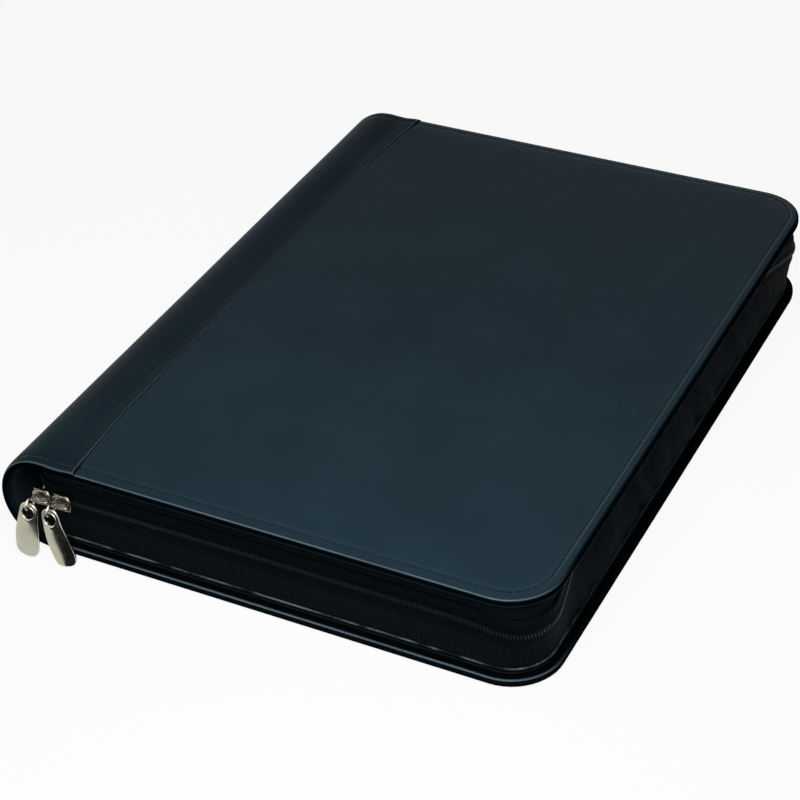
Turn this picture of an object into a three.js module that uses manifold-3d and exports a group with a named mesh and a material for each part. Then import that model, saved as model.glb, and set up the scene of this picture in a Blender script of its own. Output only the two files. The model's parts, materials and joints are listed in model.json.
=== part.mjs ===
// A zip-around leather ring binder for A4 sheets, closed and lying on its back cover.
// Millimetres. X runs from the spine (-X) to the fore edge (+X), Y along the spine, Z up.
// The origin is the middle of the covers, on the face that the binder lies on.

import * as THREE from 'three';
import { mergeVertices } from 'three/addons/utils/BufferGeometryUtils.js';
import Module from 'manifold-3d';

const wasm = await Module();
wasm.setup();

// Paper and covers
const paperWidth = 210;
const paperHeight = 297;
const roomBesidePaper = 55;
const roomPastPaper = 24;
const binderThickness = 50;
const coverCornerRadius = 24;
const coverEdgeHeight = 4.8;
const leatherThickness = 1.4;
const liningThickness = 0.8;
const panelStep = 0.7;
const seamFromSpine = 40;
const clearance = 0.3;

// Spine
const facetsPerSpineHalf = 3;
const spineThickness = 4.2;
const spineLeatherThickness = 1.8;

// Gusset and zip
const gussetRecess = 4.5;
const foreEdgeFoldIn = 2.5;
const gussetThickness = 1.2;
const gussetStart = 20.5;
const zipHeight = 29.5;
const zipGap = 1.2;
const zipStart = 14.5;
const tapeThickness = 0.7;
const tapeWidth = 6;
const coilThickness = 2;
const coilWidth = 2.3;
const pipingHeight = 10.5;
const pipingSize = 1.2;

// Ring mechanism
const ringPitch = 80;
const ringCount = 4;
const ringRadius = 13;
const ringWireRadius = 1.3;
const ringCentreHeight = 24;
const ringLegOffset = 6;
const sheathPastRing = 18;
const sheathWidth = 22;
const sheathHeight = 6.6;
const sheathThickness = 0.9;
const sheathLip = 2.6;
const sheathShoulderDrop = 2.4;
const sheathCrownHalf = 5;
const ringSlotPlay = 0.6;
const ringSlotSwing = 2.4;
const ringSlotLift = 0.4;
const platePastRing = 6;
const plateThickness = 0.9;
const plateWidth = 9;
const rivetShankRadius = 1.5;
const rivetHeadRadius = 3.5;
const rivetHeadHeight = 1.2;
const leverWidth = 12;
const leverThickness = 1.1;
const leverFootThickness = 0.9;
const leverHeelStart = 1.2;
const leverHeelEnd = 2.2;
const leverKneeReach = 7.6;
const leverKneeRise = 1.9;
const leverTipReach = 12;
const leverTipRise = 8.8;

// Sliders and their pulls
const sliderLength = 10;
const sliderWidth = 8.4;
const sliderPlate = 1.2;
const sliderInnerPlate = 1;
const sliderNeckLength = 4;
const sliderNeckPlay = 0.25;
const bridgeRadius = 0.8;
const bridgeEndSetIn = 0.6;
const bridgeLegLength = 1;
const bridgeStandOff = 2.9;
const linkHalfLength = 3.6;
const linkHalfWidth = 2.6;
const linkWireRadius = 0.6;
const linkTilt = 90;
const pullTilt = 5;
const pullLength = 30;
const pullWidth = 12.4;
const pullTopWidth = 9.6;
const pullThickness = 1.3;
const pullHoleRadius = 3.2;
const pullRim = 1.8;
const pullHang = 1;
const pullFromLinkEnd = 2.2;
const pullShoulder = 5.4;
const pullFlare = 14;
const pullTipRound = 8;
const sliders = [
  { name: '1', fromSpine: 23, linkShift: -2.5, lean: -10 },
  { name: '2', fromSpine: 33.5, linkShift: -2, lean: 14 },
];

// Pockets inside the front cover
const pocketThickness = 1;
const pocketFromSeam = 35;
const pocketGap = 6;
const cardPocketCount = 3;
const cardPocketWidth = 96;
const cardPocketHeight = 60;
const cardPocketStep = 16;
const pocketMargin = 14;

// Places that follow from the sizes above
const coverWidth = paperWidth + roomBesidePaper;
const coverHeight = paperHeight + 2 * roomPastPaper;
const spineX = -coverWidth / 2;
const foreX = coverWidth / 2;
const halfHeight = coverHeight / 2;
const seamX = spineX + seamFromSpine;
const ringX = seamX;
const ringSpan = (ringCount - 1) * ringPitch;
const sheathLength = ringSpan + 2 * sheathPastRing;
const plateLength = ringSpan + 2 * platePastRing;
const rivetFromMiddle = (sheathLength + plateLength) / 4;
const facetCount = 2 * facetsPerSpineHalf;
const facetTurn = Math.PI / (facetCount + 1);
const panelTop = binderThickness - panelStep;
const frontEdgeLow = panelTop - coverEdgeHeight + panelStep;
const liningTop = coverEdgeHeight;
const boardSetIn = leatherThickness + clearance;
const gussetFoot = liningTop + clearance;
const gussetHead = frontEdgeLow - clearance;
const tapeRecess = gussetRecess - clearance - tapeThickness;
const coilRecess = tapeRecess - clearance - coilThickness;

const group = new THREE.Group();

// Materials, as the photograph shows them
const leather = new THREE.MeshStandardMaterial({ color: 0x20272c, roughness: 0.5, metalness: 0 });
const lining = new THREE.MeshStandardMaterial({ color: 0x16181b, roughness: 0.85, metalness: 0 });
const board = new THREE.MeshStandardMaterial({ color: 0x6f6a60, roughness: 0.95, metalness: 0 });
const nylon = new THREE.MeshStandardMaterial({ color: 0x101215, roughness: 0.8, metalness: 0 });
const coilNylon = new THREE.MeshStandardMaterial({ color: 0x0c0d10, roughness: 0.5, metalness: 0 });
const nickel = new THREE.MeshStandardMaterial({ color: 0xb9b6ac, roughness: 0.25, metalness: 1 });
const steel = new THREE.MeshStandardMaterial({ color: 0xc6c9cc, roughness: 0.2, metalness: 1 });

// Solids and meshes

function toSolid(geometry) {
  const bare = geometry.clone();
  bare.deleteAttribute('normal');
  bare.deleteAttribute('uv');
  const merged = mergeVertices(bare.index ? bare.toNonIndexed() : bare, 1e-4);
  const vertProperties = new Float32Array(merged.attributes.position.array);
  const triVerts = new Uint32Array(merged.index.array);
  return new wasm.Manifold(new wasm.Mesh({ numProp: 3, vertProperties, triVerts }));
}

function toGeometry(solid) {
  const mesh = solid.getMesh();
  const geometry = new THREE.BufferGeometry();
  geometry.setAttribute('position', new THREE.BufferAttribute(new Float32Array(mesh.vertProperties), 3));
  geometry.setIndex(new THREE.BufferAttribute(new Uint32Array(mesh.triVerts), 1));
  geometry.computeVertexNormals();
  return geometry;
}

function cut(geometry, ...tools) {
  let solid = toSolid(geometry);
  for (const tool of tools) solid = solid.subtract(toSolid(tool));
  return toGeometry(solid);
}

function join(geometry, ...others) {
  let solid = toSolid(geometry);
  for (const other of others) solid = solid.add(toSolid(other));
  return toGeometry(solid);
}

function addMesh(name, geometry, material) {
  const mesh = new THREE.Mesh(geometry, material);
  mesh.name = name;
  group.add(mesh);
  return mesh;
}

function block(low, high) {
  const geometry = new THREE.BoxGeometry(high[0] - low[0], high[1] - low[1], high[2] - low[2]);
  return geometry.translate((low[0] + high[0]) / 2, (low[1] + high[1]) / 2, (low[2] + high[2]) / 2);
}

// A flat outline in X and Y, raised between two heights.
function slab(shape, low, high, curveSegments = 8) {
  const geometry = new THREE.ExtrudeGeometry(shape, { depth: high - low, bevelEnabled: false, curveSegments });
  return geometry.translate(0, 0, low);
}

// An outline in X and Z, carried along Y about the middle.
function alongSpine(points, length) {
  const shape = new THREE.Shape(points.map(([x, z]) => new THREE.Vector2(x, z)));
  const geometry = new THREE.ExtrudeGeometry(shape, { depth: length, bevelEnabled: false });
  return geometry.rotateX(Math.PI / 2).translate(0, length / 2, 0);
}

// A wire of round section along a path.
function wire(path, radius, steps, sides = 8) {
  const section = new THREE.Shape();
  for (let side = 0; side < sides; side += 1) {
    const angle = (2 * Math.PI * side) / sides;
    const point = [radius * Math.cos(angle), radius * Math.sin(angle)];
    if (side === 0) section.moveTo(...point);
    else section.lineTo(...point);
  }
  return new THREE.ExtrudeGeometry(section, { steps, extrudePath: path, bevelEnabled: false });
}

// Outlines seen from above

// A cover sheet: square at the spine end, rounded at the fore edge, set in by an inset.
function coverOutline(startX, inset) {
  const right = foreX - inset;
  const top = halfHeight - inset;
  const radius = coverCornerRadius - inset;
  const shape = new THREE.Shape();
  shape.moveTo(startX, -top);
  shape.lineTo(right - radius, -top);
  shape.absarc(right - radius, radius - top, radius, -Math.PI / 2, 0, false);
  shape.lineTo(right, top - radius);
  shape.absarc(right - radius, top - radius, radius, 0, Math.PI / 2, false);
  shape.lineTo(startX, top);
  shape.closePath();
  return shape;
}

// A wall round three sides: its outer face lies at the recess from the covers' edges.
function wallOutline(startX, recess, thickness) {
  const shape = new THREE.Shape();
  const outer = recess;
  const inner = recess + thickness;
  const centreX = foreX - foreEdgeFoldIn - coverCornerRadius;
  const centreY = halfHeight - coverCornerRadius;
  shape.moveTo(startX, outer - halfHeight);
  shape.lineTo(centreX, outer - halfHeight);
  shape.absarc(centreX, -centreY, coverCornerRadius - outer, -Math.PI / 2, 0, false);
  shape.lineTo(foreX - foreEdgeFoldIn - outer, centreY);
  shape.absarc(centreX, centreY, coverCornerRadius - outer, 0, Math.PI / 2, false);
  shape.lineTo(startX, halfHeight - outer);
  shape.lineTo(startX, halfHeight - inner);
  shape.lineTo(centreX, halfHeight - inner);
  shape.absarc(centreX, centreY, coverCornerRadius - inner, Math.PI / 2, 0, true);
  shape.lineTo(foreX - foreEdgeFoldIn - inner, -centreY);
  shape.absarc(centreX, -centreY, coverCornerRadius - inner, 0, -Math.PI / 2, true);
  shape.lineTo(startX, inner - halfHeight);
  shape.closePath();
  return shape;
}

// Spine: flat facets from the back cover round to the front cover. The leather folds at the first
// facet line, the middle one and the last. Each line lies on the outer face.
function spineFacetLines() {
  let rise = 0;
  let run = 0;
  for (let facet = 1; facet <= facetCount; facet += 1) {
    rise += Math.sin(facet * facetTurn);
    if (facet <= facetsPerSpineHalf) run += Math.cos(facet * facetTurn);
  }
  const width = binderThickness / rise;
  const lines = [[spineX + width * run, 0]];
  for (let facet = 1; facet <= facetCount; facet += 1) {
    const [x, z] = lines[facet - 1];
    const heading = Math.PI - facet * facetTurn;
    lines.push([x + width * Math.cos(heading), z + width * Math.sin(heading)]);
  }
  return { lines, width };
}

const { lines: facetLines, width: facetWidth } = spineFacetLines();
const coverStartX = facetLines[0][0];

// How far a layer's edge stands back from a fold line, at a depth under the outer face.
function standBack(depth) {
  return clearance / 2 / Math.cos(facetTurn / 2) + depth * Math.tan(facetTurn / 2);
}

// A point at a distance along a facet and a depth under its outer face.
function facetPoint(facet, distance, depth) {
  const [x, z] = facetLines[facet - 1];
  const heading = Math.PI - facet * facetTurn;
  return [
    x + Math.cos(heading) * distance + Math.sin(heading) * depth,
    z + Math.sin(heading) * distance - Math.cos(heading) * depth,
  ];
}

// One side of a layer, over half of the spine, with the corners between its facets.
function halfSpineLine(first, depth) {
  const last = first + facetsPerSpineHalf - 1;
  const points = [facetPoint(first, standBack(depth), depth)];
  for (let facet = first; facet < last; facet += 1) {
    points.push(facetPoint(facet, facetWidth - depth * Math.tan(facetTurn / 2), depth));
  }
  points.push(facetPoint(last, facetWidth - standBack(depth), depth));
  return points;
}

function halfSpineLayer(first, outer, inner) {
  return alongSpine([...halfSpineLine(first, outer), ...halfSpineLine(first, inner).reverse()], coverHeight);
}

function makeSpine() {
  const liningDepth = spineLeatherThickness + clearance;
  for (const [label, first] of [['lower', 1], ['upper', facetsPerSpineHalf + 1]]) {
    addMesh(`spine_leather_${label}`, halfSpineLayer(first, 0, spineLeatherThickness), leather);
    addMesh(`spine_lining_${label}`, halfSpineLayer(first, liningDepth, spineThickness), lining);
  }
}

// A cutter that bevels a cover's spine end, so that the spine can fold against it.
function spineEndCutter(isFront) {
  const depths = [-1, coverEdgeHeight + 1];
  const level = (depth) => (isFront ? binderThickness - depth : depth);
  const bevel = depths.map((depth) => [coverStartX + standBack(depth), level(depth)]);
  const outside = [...depths].reverse().map((depth) => [coverStartX - facetWidth, level(depth)]);
  return alongSpine([...bevel, ...outside], coverHeight + 2);
}

// Back cover: a leather skin turned up round its edge, a board, and a lining.
function makeBackCover() {
  const innerStart = coverStartX + standBack(coverEdgeHeight);
  const skin = slab(coverOutline(coverStartX, 0), 0, coverEdgeHeight);
  const hollow = slab(coverOutline(spineX, leatherThickness), leatherThickness, coverEdgeHeight + 1);
  addMesh('back_leather', cut(skin, hollow, spineEndCutter(false)), leather);
  const liningLow = liningTop - liningThickness;
  const boardShape = coverOutline(innerStart, boardSetIn);
  addMesh('back_board', slab(boardShape, leatherThickness + clearance, liningLow - clearance), board);
  addMesh('back_lining', slab(boardShape, liningLow, liningTop), lining);
}

// Front cover: the smooth panel and the edge of the spine strip, which stands a little higher.
function makeFrontCover() {
  const skinLow = panelTop - leatherThickness;
  const innerStart = coverStartX + standBack(coverEdgeHeight);
  const panelStart = seamX + clearance / 2;
  const stripEnd = seamX - clearance / 2;
  const hollow = slab(coverOutline(spineX, leatherThickness), frontEdgeLow - 1, skinLow);
  const beforeSeam = block([spineX, -coverHeight, 0], [panelStart, coverHeight, binderThickness + 1]);
  const afterSeam = block([stripEnd, -coverHeight, 0], [coverWidth, coverHeight, binderThickness + 1]);
  const panelSkin = slab(coverOutline(coverStartX, 0), frontEdgeLow, panelTop);
  addMesh('front_panel', cut(panelSkin, hollow, beforeSeam), leather);
  const stripSkin = slab(coverOutline(coverStartX, 0), frontEdgeLow, binderThickness);
  addMesh('spine_strip_edge', cut(stripSkin, hollow, afterSeam, spineEndCutter(true)), leather);
  const boardShape = coverOutline(innerStart, boardSetIn);
  const liningHigh = frontEdgeLow + liningThickness;
  addMesh('front_board', slab(boardShape, liningHigh + clearance, skinLow - clearance), board);
  addMesh('front_lining', slab(boardShape, frontEdgeLow, liningHigh), lining);
}

// Gusset halves, the piping on the lower one, and the zip between them.
function makeGusset() {
  const wall = wallOutline(spineX + gussetStart, gussetRecess, gussetThickness);
  const lowTop = zipHeight - zipGap / 2;
  const highLow = zipHeight + zipGap / 2;
  addMesh('lower_gusset', slab(wall, gussetFoot, lowTop), nylon);
  addMesh('upper_gusset', slab(wall, highLow, gussetHead), nylon);
  const pipingRecess = gussetRecess - clearance - pipingSize;
  const piping = wallOutline(spineX + gussetStart, pipingRecess, pipingSize);
  addMesh('gusset_piping', slab(piping, pipingHeight, pipingHeight + pipingSize), nylon);
  const tape = wallOutline(spineX + zipStart, tapeRecess, tapeThickness);
  addMesh('lower_zip_tape', slab(tape, lowTop - tapeWidth, lowTop), nylon);
  addMesh('upper_zip_tape', slab(tape, highLow, highLow + tapeWidth), nylon);
  const coil = wallOutline(spineX + zipStart, coilRecess, coilThickness);
  addMesh('lower_zip_coil', slab(coil, lowTop - coilWidth, lowTop), coilNylon);
  addMesh('upper_zip_coil', slab(coil, highLow, highLow + coilWidth), coilNylon);
}

// Ring mechanism: a sprung sheath riveted to the back cover, two hinged plates in it,
// half rings on the plates and a lever at each end.
const sheathLow = liningTop + clearance;
const sheathTop = sheathLow + sheathHeight;
const plateLow = sheathLow + sheathThickness + clearance;
const plateTop = plateLow + plateThickness;
const plateOuter = plateWidth + clearance / 2;

function ringPlaces() {
  return Array.from({ length: ringCount }, (_, ring) => (ring - (ringCount - 1) / 2) * ringPitch);
}

function makeSheath() {
  const half = sheathWidth / 2;
  const inner = half - sheathThickness;
  const lip = half - sheathLip;
  const shoulder = sheathTop - sheathShoulderDrop;
  const crown = sheathCrownHalf;
  const outline = [
    [lip, sheathLow], [half, sheathLow], [half, shoulder], [crown, sheathTop], [-crown, sheathTop],
    [-half, shoulder], [-half, sheathLow], [-lip, sheathLow], [-lip, sheathLow + sheathThickness],
    [-inner, sheathLow + sheathThickness], [-inner, shoulder - sheathThickness / 3],
    [-crown, sheathTop - sheathThickness], [crown, sheathTop - sheathThickness],
    [inner, shoulder - sheathThickness / 3], [inner, sheathLow + sheathThickness],
    [lip, sheathLow + sheathThickness],
  ];
  const channel = alongSpine(outline.map(([x, z]) => [x + ringX, z]), sheathLength);
  const cutters = [];
  const slotHalf = ringWireRadius + ringSlotPlay;
  for (const y of ringPlaces()) {
    for (const side of [-1, 1]) {
      const reach = [side * (ringLegOffset - slotHalf), side * (ringLegOffset + ringWireRadius + ringSlotSwing)];
      const low = [ringX + Math.min(...reach), y - slotHalf, plateTop + ringSlotLift];
      const high = [ringX + Math.max(...reach), y + slotHalf, sheathTop + 1];
      cutters.push(block(low, high));
    }
  }
  for (const side of [-1, 1]) {
    const hole = new THREE.CylinderGeometry(rivetShankRadius + clearance, rivetShankRadius + clearance, 20, 16);
    cutters.push(hole.rotateX(Math.PI / 2).translate(ringX, side * rivetFromMiddle, sheathTop));
  }
  addMesh('ring_sheath', cut(channel, ...cutters), steel);
}

function makeRivets() {
  const profile = [
    [0, sheathLow], [rivetShankRadius, sheathLow], [rivetShankRadius, sheathTop + clearance],
    [rivetHeadRadius, sheathTop + clearance], [rivetHeadRadius * 0.75, sheathTop + clearance + rivetHeadHeight * 0.7],
    [0, sheathTop + clearance + rivetHeadHeight],
  ];
  [-1, 1].forEach((side, index) => {
    const points = profile.map(([radius, height]) => new THREE.Vector2(radius, height));
    const rivet = new THREE.LatheGeometry(points, 16).rotateX(Math.PI / 2);
    addMesh(`ring_rivet_${index + 1}`, rivet.translate(ringX, side * rivetFromMiddle, 0), steel);
  });
}

function halfRingPath(side) {
  const points = [
    [clearance / 2, ringCentreHeight + ringRadius],
    [clearance / 2 + 1.4, ringCentreHeight + ringRadius],
  ];
  for (const degrees of [68, 45, 22, 0, -22, -42]) {
    const angle = THREE.MathUtils.degToRad(degrees);
    points.push([ringRadius * Math.cos(angle), ringCentreHeight + ringRadius * Math.sin(angle)]);
  }
  points.push([ringLegOffset + 0.9, plateTop + 4], [ringLegOffset, plateTop + 2], [ringLegOffset, plateTop + clearance]);
  return new THREE.CatmullRomCurve3(points.map(([x, z]) => new THREE.Vector3(side * x, 0, z)), false, 'centripetal');
}

function makeRings() {
  for (const [side, label] of [[-1, 'left'], [1, 'right']]) {
    const edges = [side * plateOuter, (side * clearance) / 2];
    const low = [ringX + Math.min(...edges), -plateLength / 2, plateLow];
    const high = [ringX + Math.max(...edges), plateLength / 2, plateTop];
    addMesh(`ring_plate_${label}`, block(low, high), steel);
    ringPlaces().forEach((y, index) => {
      const ring = wire(halfRingPath(side), ringWireRadius, 18);
      addMesh(`half_ring_${label}_${index + 1}`, ring.translate(ringX, y, 0), steel);
    });
  }
}

function makeLevers() {
  const start = sheathLength / 2 + clearance;
  const heel = liningTop + clearance - plateLow;
  const foot = leverFootThickness;
  const outline = [
    [0, foot], [leverHeelStart, heel], [leverHeelEnd, heel], [leverKneeReach, leverKneeRise],
    [leverTipReach, leverTipRise], [leverTipReach - leverThickness, leverTipRise + leverThickness * 0.7],
    [leverKneeReach - leverThickness * 0.8, leverKneeRise + leverThickness],
    [leverHeelEnd + leverThickness / 2, foot + leverThickness / 2], [0, foot + leverThickness],
  ];
  for (const [side, label] of [[-1, 'near'], [1, 'far']]) {
    const points = outline.map(([reach, rise]) => new THREE.Vector2(side * (start + reach), plateLow + rise));
    const shape = new THREE.Shape(points);
    const geometry = new THREE.ExtrudeGeometry(shape, { depth: leverWidth, bevelEnabled: false });
    geometry.rotateX(Math.PI / 2).rotateZ(Math.PI / 2).translate(ringX - leverWidth / 2, 0, 0);
    addMesh(`ring_lever_${label}`, geometry, steel);
  }
}

// Zip sliders: a front plate with a bridge, a neck through the zip, and an inner plate.
const frontPlateY = coilRecess - clearance - halfHeight;
const bridgeY = frontPlateY - sliderPlate - bridgeStandOff;
const innerPlateY = gussetRecess + gussetThickness + clearance - halfHeight;

// A plate in X and Z, with its outer face at outerY and its inner face at innerY.
function uprightPlate(points, outerY, innerY) {
  const shape = new THREE.Shape(points.map(([x, z]) => new THREE.Vector2(x, z)));
  const geometry = new THREE.ExtrudeGeometry(shape, { depth: innerY - outerY, bevelEnabled: false });
  return geometry.rotateX(Math.PI / 2).translate(0, innerY, 0);
}

function sliderOutline(scale) {
  const halfLength = (sliderLength / 2) * scale;
  const halfWidth = (sliderWidth / 2) * scale;
  return [
    [-halfLength, -halfWidth * 0.55], [-halfLength * 0.7, -halfWidth * 0.9], [halfLength * 0.3, -halfWidth],
    [halfLength * 0.8, -halfWidth * 0.85], [halfLength, -halfWidth * 0.5], [halfLength, halfWidth * 0.5],
    [halfLength * 0.8, halfWidth * 0.85], [halfLength * 0.3, halfWidth], [-halfLength * 0.7, halfWidth * 0.9],
    [-halfLength, halfWidth * 0.55],
  ];
}

function makeSliderBody(name, x) {
  const front = uprightPlate(sliderOutline(1), frontPlateY - sliderPlate, frontPlateY);
  const inner = uprightPlate(sliderOutline(0.92), innerPlateY, innerPlateY + sliderInnerPlate);
  const neckHalf = zipGap / 2 - sliderNeckPlay;
  const neck = block(
    [-sliderNeckLength / 2, frontPlateY - sliderPlate / 2, -neckHalf],
    [sliderNeckLength / 2, innerPlateY + sliderInnerPlate / 2, neckHalf],
  );
  const barHalf = sliderLength / 2 - bridgeEndSetIn;
  const bar = new THREE.CylinderGeometry(bridgeRadius, bridgeRadius, 2 * barHalf, 12);
  bar.rotateZ(Math.PI / 2).translate(0, bridgeY, 0);
  const legs = [-1, 1].map((side) => {
    const ends = [side * barHalf, side * (barHalf - bridgeLegLength)];
    return block(
      [Math.min(...ends), bridgeY, -bridgeRadius],
      [Math.max(...ends), frontPlateY - sliderPlate / 2, bridgeRadius],
    );
  });
  addMesh(name, join(front, inner, neck, bar, ...legs).translate(x, 0, zipHeight), nickel);
}

// The link is an oval ring round the bridge. The pull hangs on its lower side, near its far end.
const linkCentreOut = linkHalfLength - linkWireRadius - bridgeRadius - clearance;
const pullOut = linkCentreOut + linkHalfLength - pullFromLinkEnd;
const pullBelow = linkHalfWidth * Math.sqrt(1 - ((linkHalfLength - pullFromLinkEnd) / linkHalfLength) ** 2);

// A closed wire round an oval in Y and Z.
function ovalWire(halfWidth, halfLength, radius, steps, sides) {
  const positions = [];
  const indices = [];
  for (let step = 0; step < steps; step += 1) {
    const turn = (2 * Math.PI * step) / steps;
    const centre = [halfWidth * Math.cos(turn), halfLength * Math.sin(turn)];
    const outward = new THREE.Vector2(halfLength * Math.cos(turn), halfWidth * Math.sin(turn)).normalize();
    for (let side = 0; side < sides; side += 1) {
      const angle = (2 * Math.PI * side) / sides;
      const out = radius * Math.cos(angle);
      positions.push(radius * Math.sin(angle), centre[0] + out * outward.x, centre[1] + out * outward.y);
      const next = (side + 1) % sides;
      const here = step * sides;
      const ahead = ((step + 1) % steps) * sides;
      indices.push(here + side, ahead + side, here + next, here + next, ahead + side, ahead + next);
    }
  }
  const geometry = new THREE.BufferGeometry();
  geometry.setAttribute('position', new THREE.Float32BufferAttribute(positions, 3));
  geometry.setIndex(indices);
  geometry.computeVertexNormals();
  return geometry;
}

function makeLink(name, x) {
  const ring = ovalWire(linkHalfWidth, linkHalfLength, linkWireRadius, 20, 8);
  ring.translate(0, 0, -linkCentreOut).rotateX(THREE.MathUtils.degToRad(-linkTilt));
  addMesh(name, ring.translate(x, bridgeY, zipHeight), nickel);
}

function pullOutline() {
  const holeTop = linkWireRadius + pullHang;
  const top = holeTop + pullRim;
  const bottom = top - pullLength;
  const halfTop = pullTopWidth / 2;
  const halfWide = pullWidth / 2;
  const edge = new THREE.Path();
  edge.moveTo(0, top);
  const shoulder = top - pullShoulder;
  const flare = top - pullFlare;
  const tip = bottom + pullTipRound;
  const nearTop = top - pullShoulder * 0.4;
  const nearBottom = bottom + pullTipRound / 3;
  const nearFlare = (shoulder + flare) / 2;
  edge.bezierCurveTo(halfTop * 0.7, top, halfTop, nearTop, halfTop, shoulder);
  edge.bezierCurveTo(halfTop, nearFlare, halfWide, flare, halfWide, tip);
  edge.bezierCurveTo(halfWide, nearBottom, halfWide * 0.7, bottom, 0, bottom);
  edge.bezierCurveTo(-halfWide * 0.7, bottom, -halfWide, nearBottom, -halfWide, tip);
  edge.bezierCurveTo(-halfWide, flare, -halfTop, nearFlare, -halfTop, shoulder);
  edge.bezierCurveTo(-halfTop, nearTop, -halfTop * 0.7, top, 0, top);
  const shape = new THREE.Shape(edge.getPoints(6).slice(0, -1));
  const holePoints = [];
  for (let step = 0; step < 16; step += 1) {
    const angle = (2 * Math.PI * step) / 16;
    const point = [Math.cos(angle) * pullHoleRadius, holeTop - pullHoleRadius + Math.sin(angle) * pullHoleRadius];
    holePoints.push(new THREE.Vector2(...point));
  }
  shape.holes.push(new THREE.Path(holePoints));
  return shape;
}

function makePull(name, x, lean) {
  const plate = new THREE.ExtrudeGeometry(pullOutline(), { depth: pullThickness, bevelEnabled: false });
  plate.translate(0, 0, -pullThickness / 2).rotateX(Math.PI / 2);
  plate.rotateY(THREE.MathUtils.degToRad(-lean)).rotateX(THREE.MathUtils.degToRad(-pullTilt));
  const tilt = THREE.MathUtils.degToRad(linkTilt);
  const hangY = bridgeY - pullOut * Math.sin(tilt) + pullBelow * Math.cos(tilt);
  const hangZ = zipHeight - pullOut * Math.cos(tilt) - pullBelow * Math.sin(tilt);
  addMesh(name, plate.translate(x, hangY, hangZ), nickel);
}

function makeSliders() {
  for (const { name, fromSpine, linkShift, lean } of sliders) {
    const x = spineX + fromSpine;
    makeSliderBody(`slider_${name}`, x);
    makeLink(`slider_link_${name}`, x + linkShift);
    makePull(`slider_pull_${name}`, x + linkShift, lean);
  }
}

// Pockets on the lining inside the front cover.
function makePockets() {
  const topFace = frontEdgeLow - clearance;
  const right = foreX - pocketMargin;
  const far = halfHeight - pocketMargin;
  const cardsDepth = cardPocketHeight + (cardPocketCount - 1) * cardPocketStep;
  const low = [seamX + pocketFromSeam, pocketMargin - halfHeight, topFace - pocketThickness];
  const high = [right, far - cardsDepth - pocketGap, topFace];
  addMesh('document_pocket', block(low, high), lining);
  for (let card = 1; card <= cardPocketCount; card += 1) {
    const face = topFace - (card - 1) * (pocketThickness + clearance);
    const end = far - (card - 1) * cardPocketStep;
    const cornerLow = [right - cardPocketWidth, end - cardPocketHeight, face - pocketThickness];
    addMesh(`card_pocket_${card}`, block(cornerLow, [right, end, face]), lining);
  }
}

makeBackCover();
makeSpine();
makeFrontCover();
makeGusset();
makeSheath();
makeRivets();
makeRings();
makeLevers();
makeSliders();
makePockets();

export default group;
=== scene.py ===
"""Leather ring binder: the finished surfaces, stitched and fitted over the binder's frame.

Lengths in the functions below are millimetres in the binder's own frame, apart from the places and
sizes of the lamps, which are metres. Meshes are made in metres.
"""

import json
import math

import bmesh
import bpy
import numpy as np
from bpy.props import FloatProperty, FloatVectorProperty, PointerProperty
from mathutils import Matrix, Vector, noise


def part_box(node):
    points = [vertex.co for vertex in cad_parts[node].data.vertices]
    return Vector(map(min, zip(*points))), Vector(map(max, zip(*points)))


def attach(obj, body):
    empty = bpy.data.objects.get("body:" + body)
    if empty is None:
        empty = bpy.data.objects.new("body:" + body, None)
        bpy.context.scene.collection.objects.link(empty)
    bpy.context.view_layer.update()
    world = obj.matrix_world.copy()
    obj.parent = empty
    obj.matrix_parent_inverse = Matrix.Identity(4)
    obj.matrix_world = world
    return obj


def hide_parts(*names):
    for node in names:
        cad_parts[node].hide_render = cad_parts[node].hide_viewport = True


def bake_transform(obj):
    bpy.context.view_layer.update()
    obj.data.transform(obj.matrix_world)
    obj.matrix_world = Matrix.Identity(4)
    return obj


bl_info = {
    "name": "Leather Ring Binder",
    "version": (1, 0, 0),
    "blender": (4, 5, 0),
    "location": "View3D > Sidebar > Binder",
    "description": "Builds a zip-around leather ring binder over its frame",
    "category": "Object",
}

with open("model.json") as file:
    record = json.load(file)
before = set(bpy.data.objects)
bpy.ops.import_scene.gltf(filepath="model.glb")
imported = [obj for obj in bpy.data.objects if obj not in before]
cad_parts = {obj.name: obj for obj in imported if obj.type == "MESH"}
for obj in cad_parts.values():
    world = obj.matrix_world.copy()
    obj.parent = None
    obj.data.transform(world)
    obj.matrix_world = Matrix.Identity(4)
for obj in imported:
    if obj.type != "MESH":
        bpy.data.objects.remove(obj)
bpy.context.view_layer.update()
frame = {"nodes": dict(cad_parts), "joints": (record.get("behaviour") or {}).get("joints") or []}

# Sizes taken from the frame, in millimetres
METRE = 1000.0


def span(node):
    """The lowest and highest corners of a node, in millimetres."""
    low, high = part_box(node)
    return low * METRE, high * METRE


PANEL_LOW, PANEL_HIGH = span("front_panel")
STRIP_HIGH = span("spine_strip_edge")[1]
FORE = PANEL_HIGH.x
HALF = PANEL_HIGH.y
PANEL_TOP = PANEL_HIGH.z
THICK = STRIP_HIGH.z
SEAM = (PANEL_LOW.x + STRIP_HIGH.x) / 2
SPINE = span("spine_leather_lower")[0].x
CORNER = 24.0
ZIP_Z = (span("lower_zip_coil")[1].z + span("upper_zip_coil")[0].z) / 2
ZIP_START = span("lower_zip_coil")[0].x
RING_X = (span("ring_sheath")[0].x + span("ring_sheath")[1].x) / 2
JOINTS = {joint["name"]: joint for joint in frame["joints"]}


def joint_place(name):
    """A joint's axis point, in millimetres."""
    return Vector(JOINTS[name]["pos_m"]) * METRE


def linear(colour):
    """An sRGB hex colour as linear red, green, blue and alpha."""
    values = [int(colour[k:k + 2], 16) / 255 for k in (1, 3, 5)]
    return [v / 12.92 if v <= 0.04045 else ((v + 0.055) / 1.055) ** 2.4 for v in values] + [1.0]


# What a user may change


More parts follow.
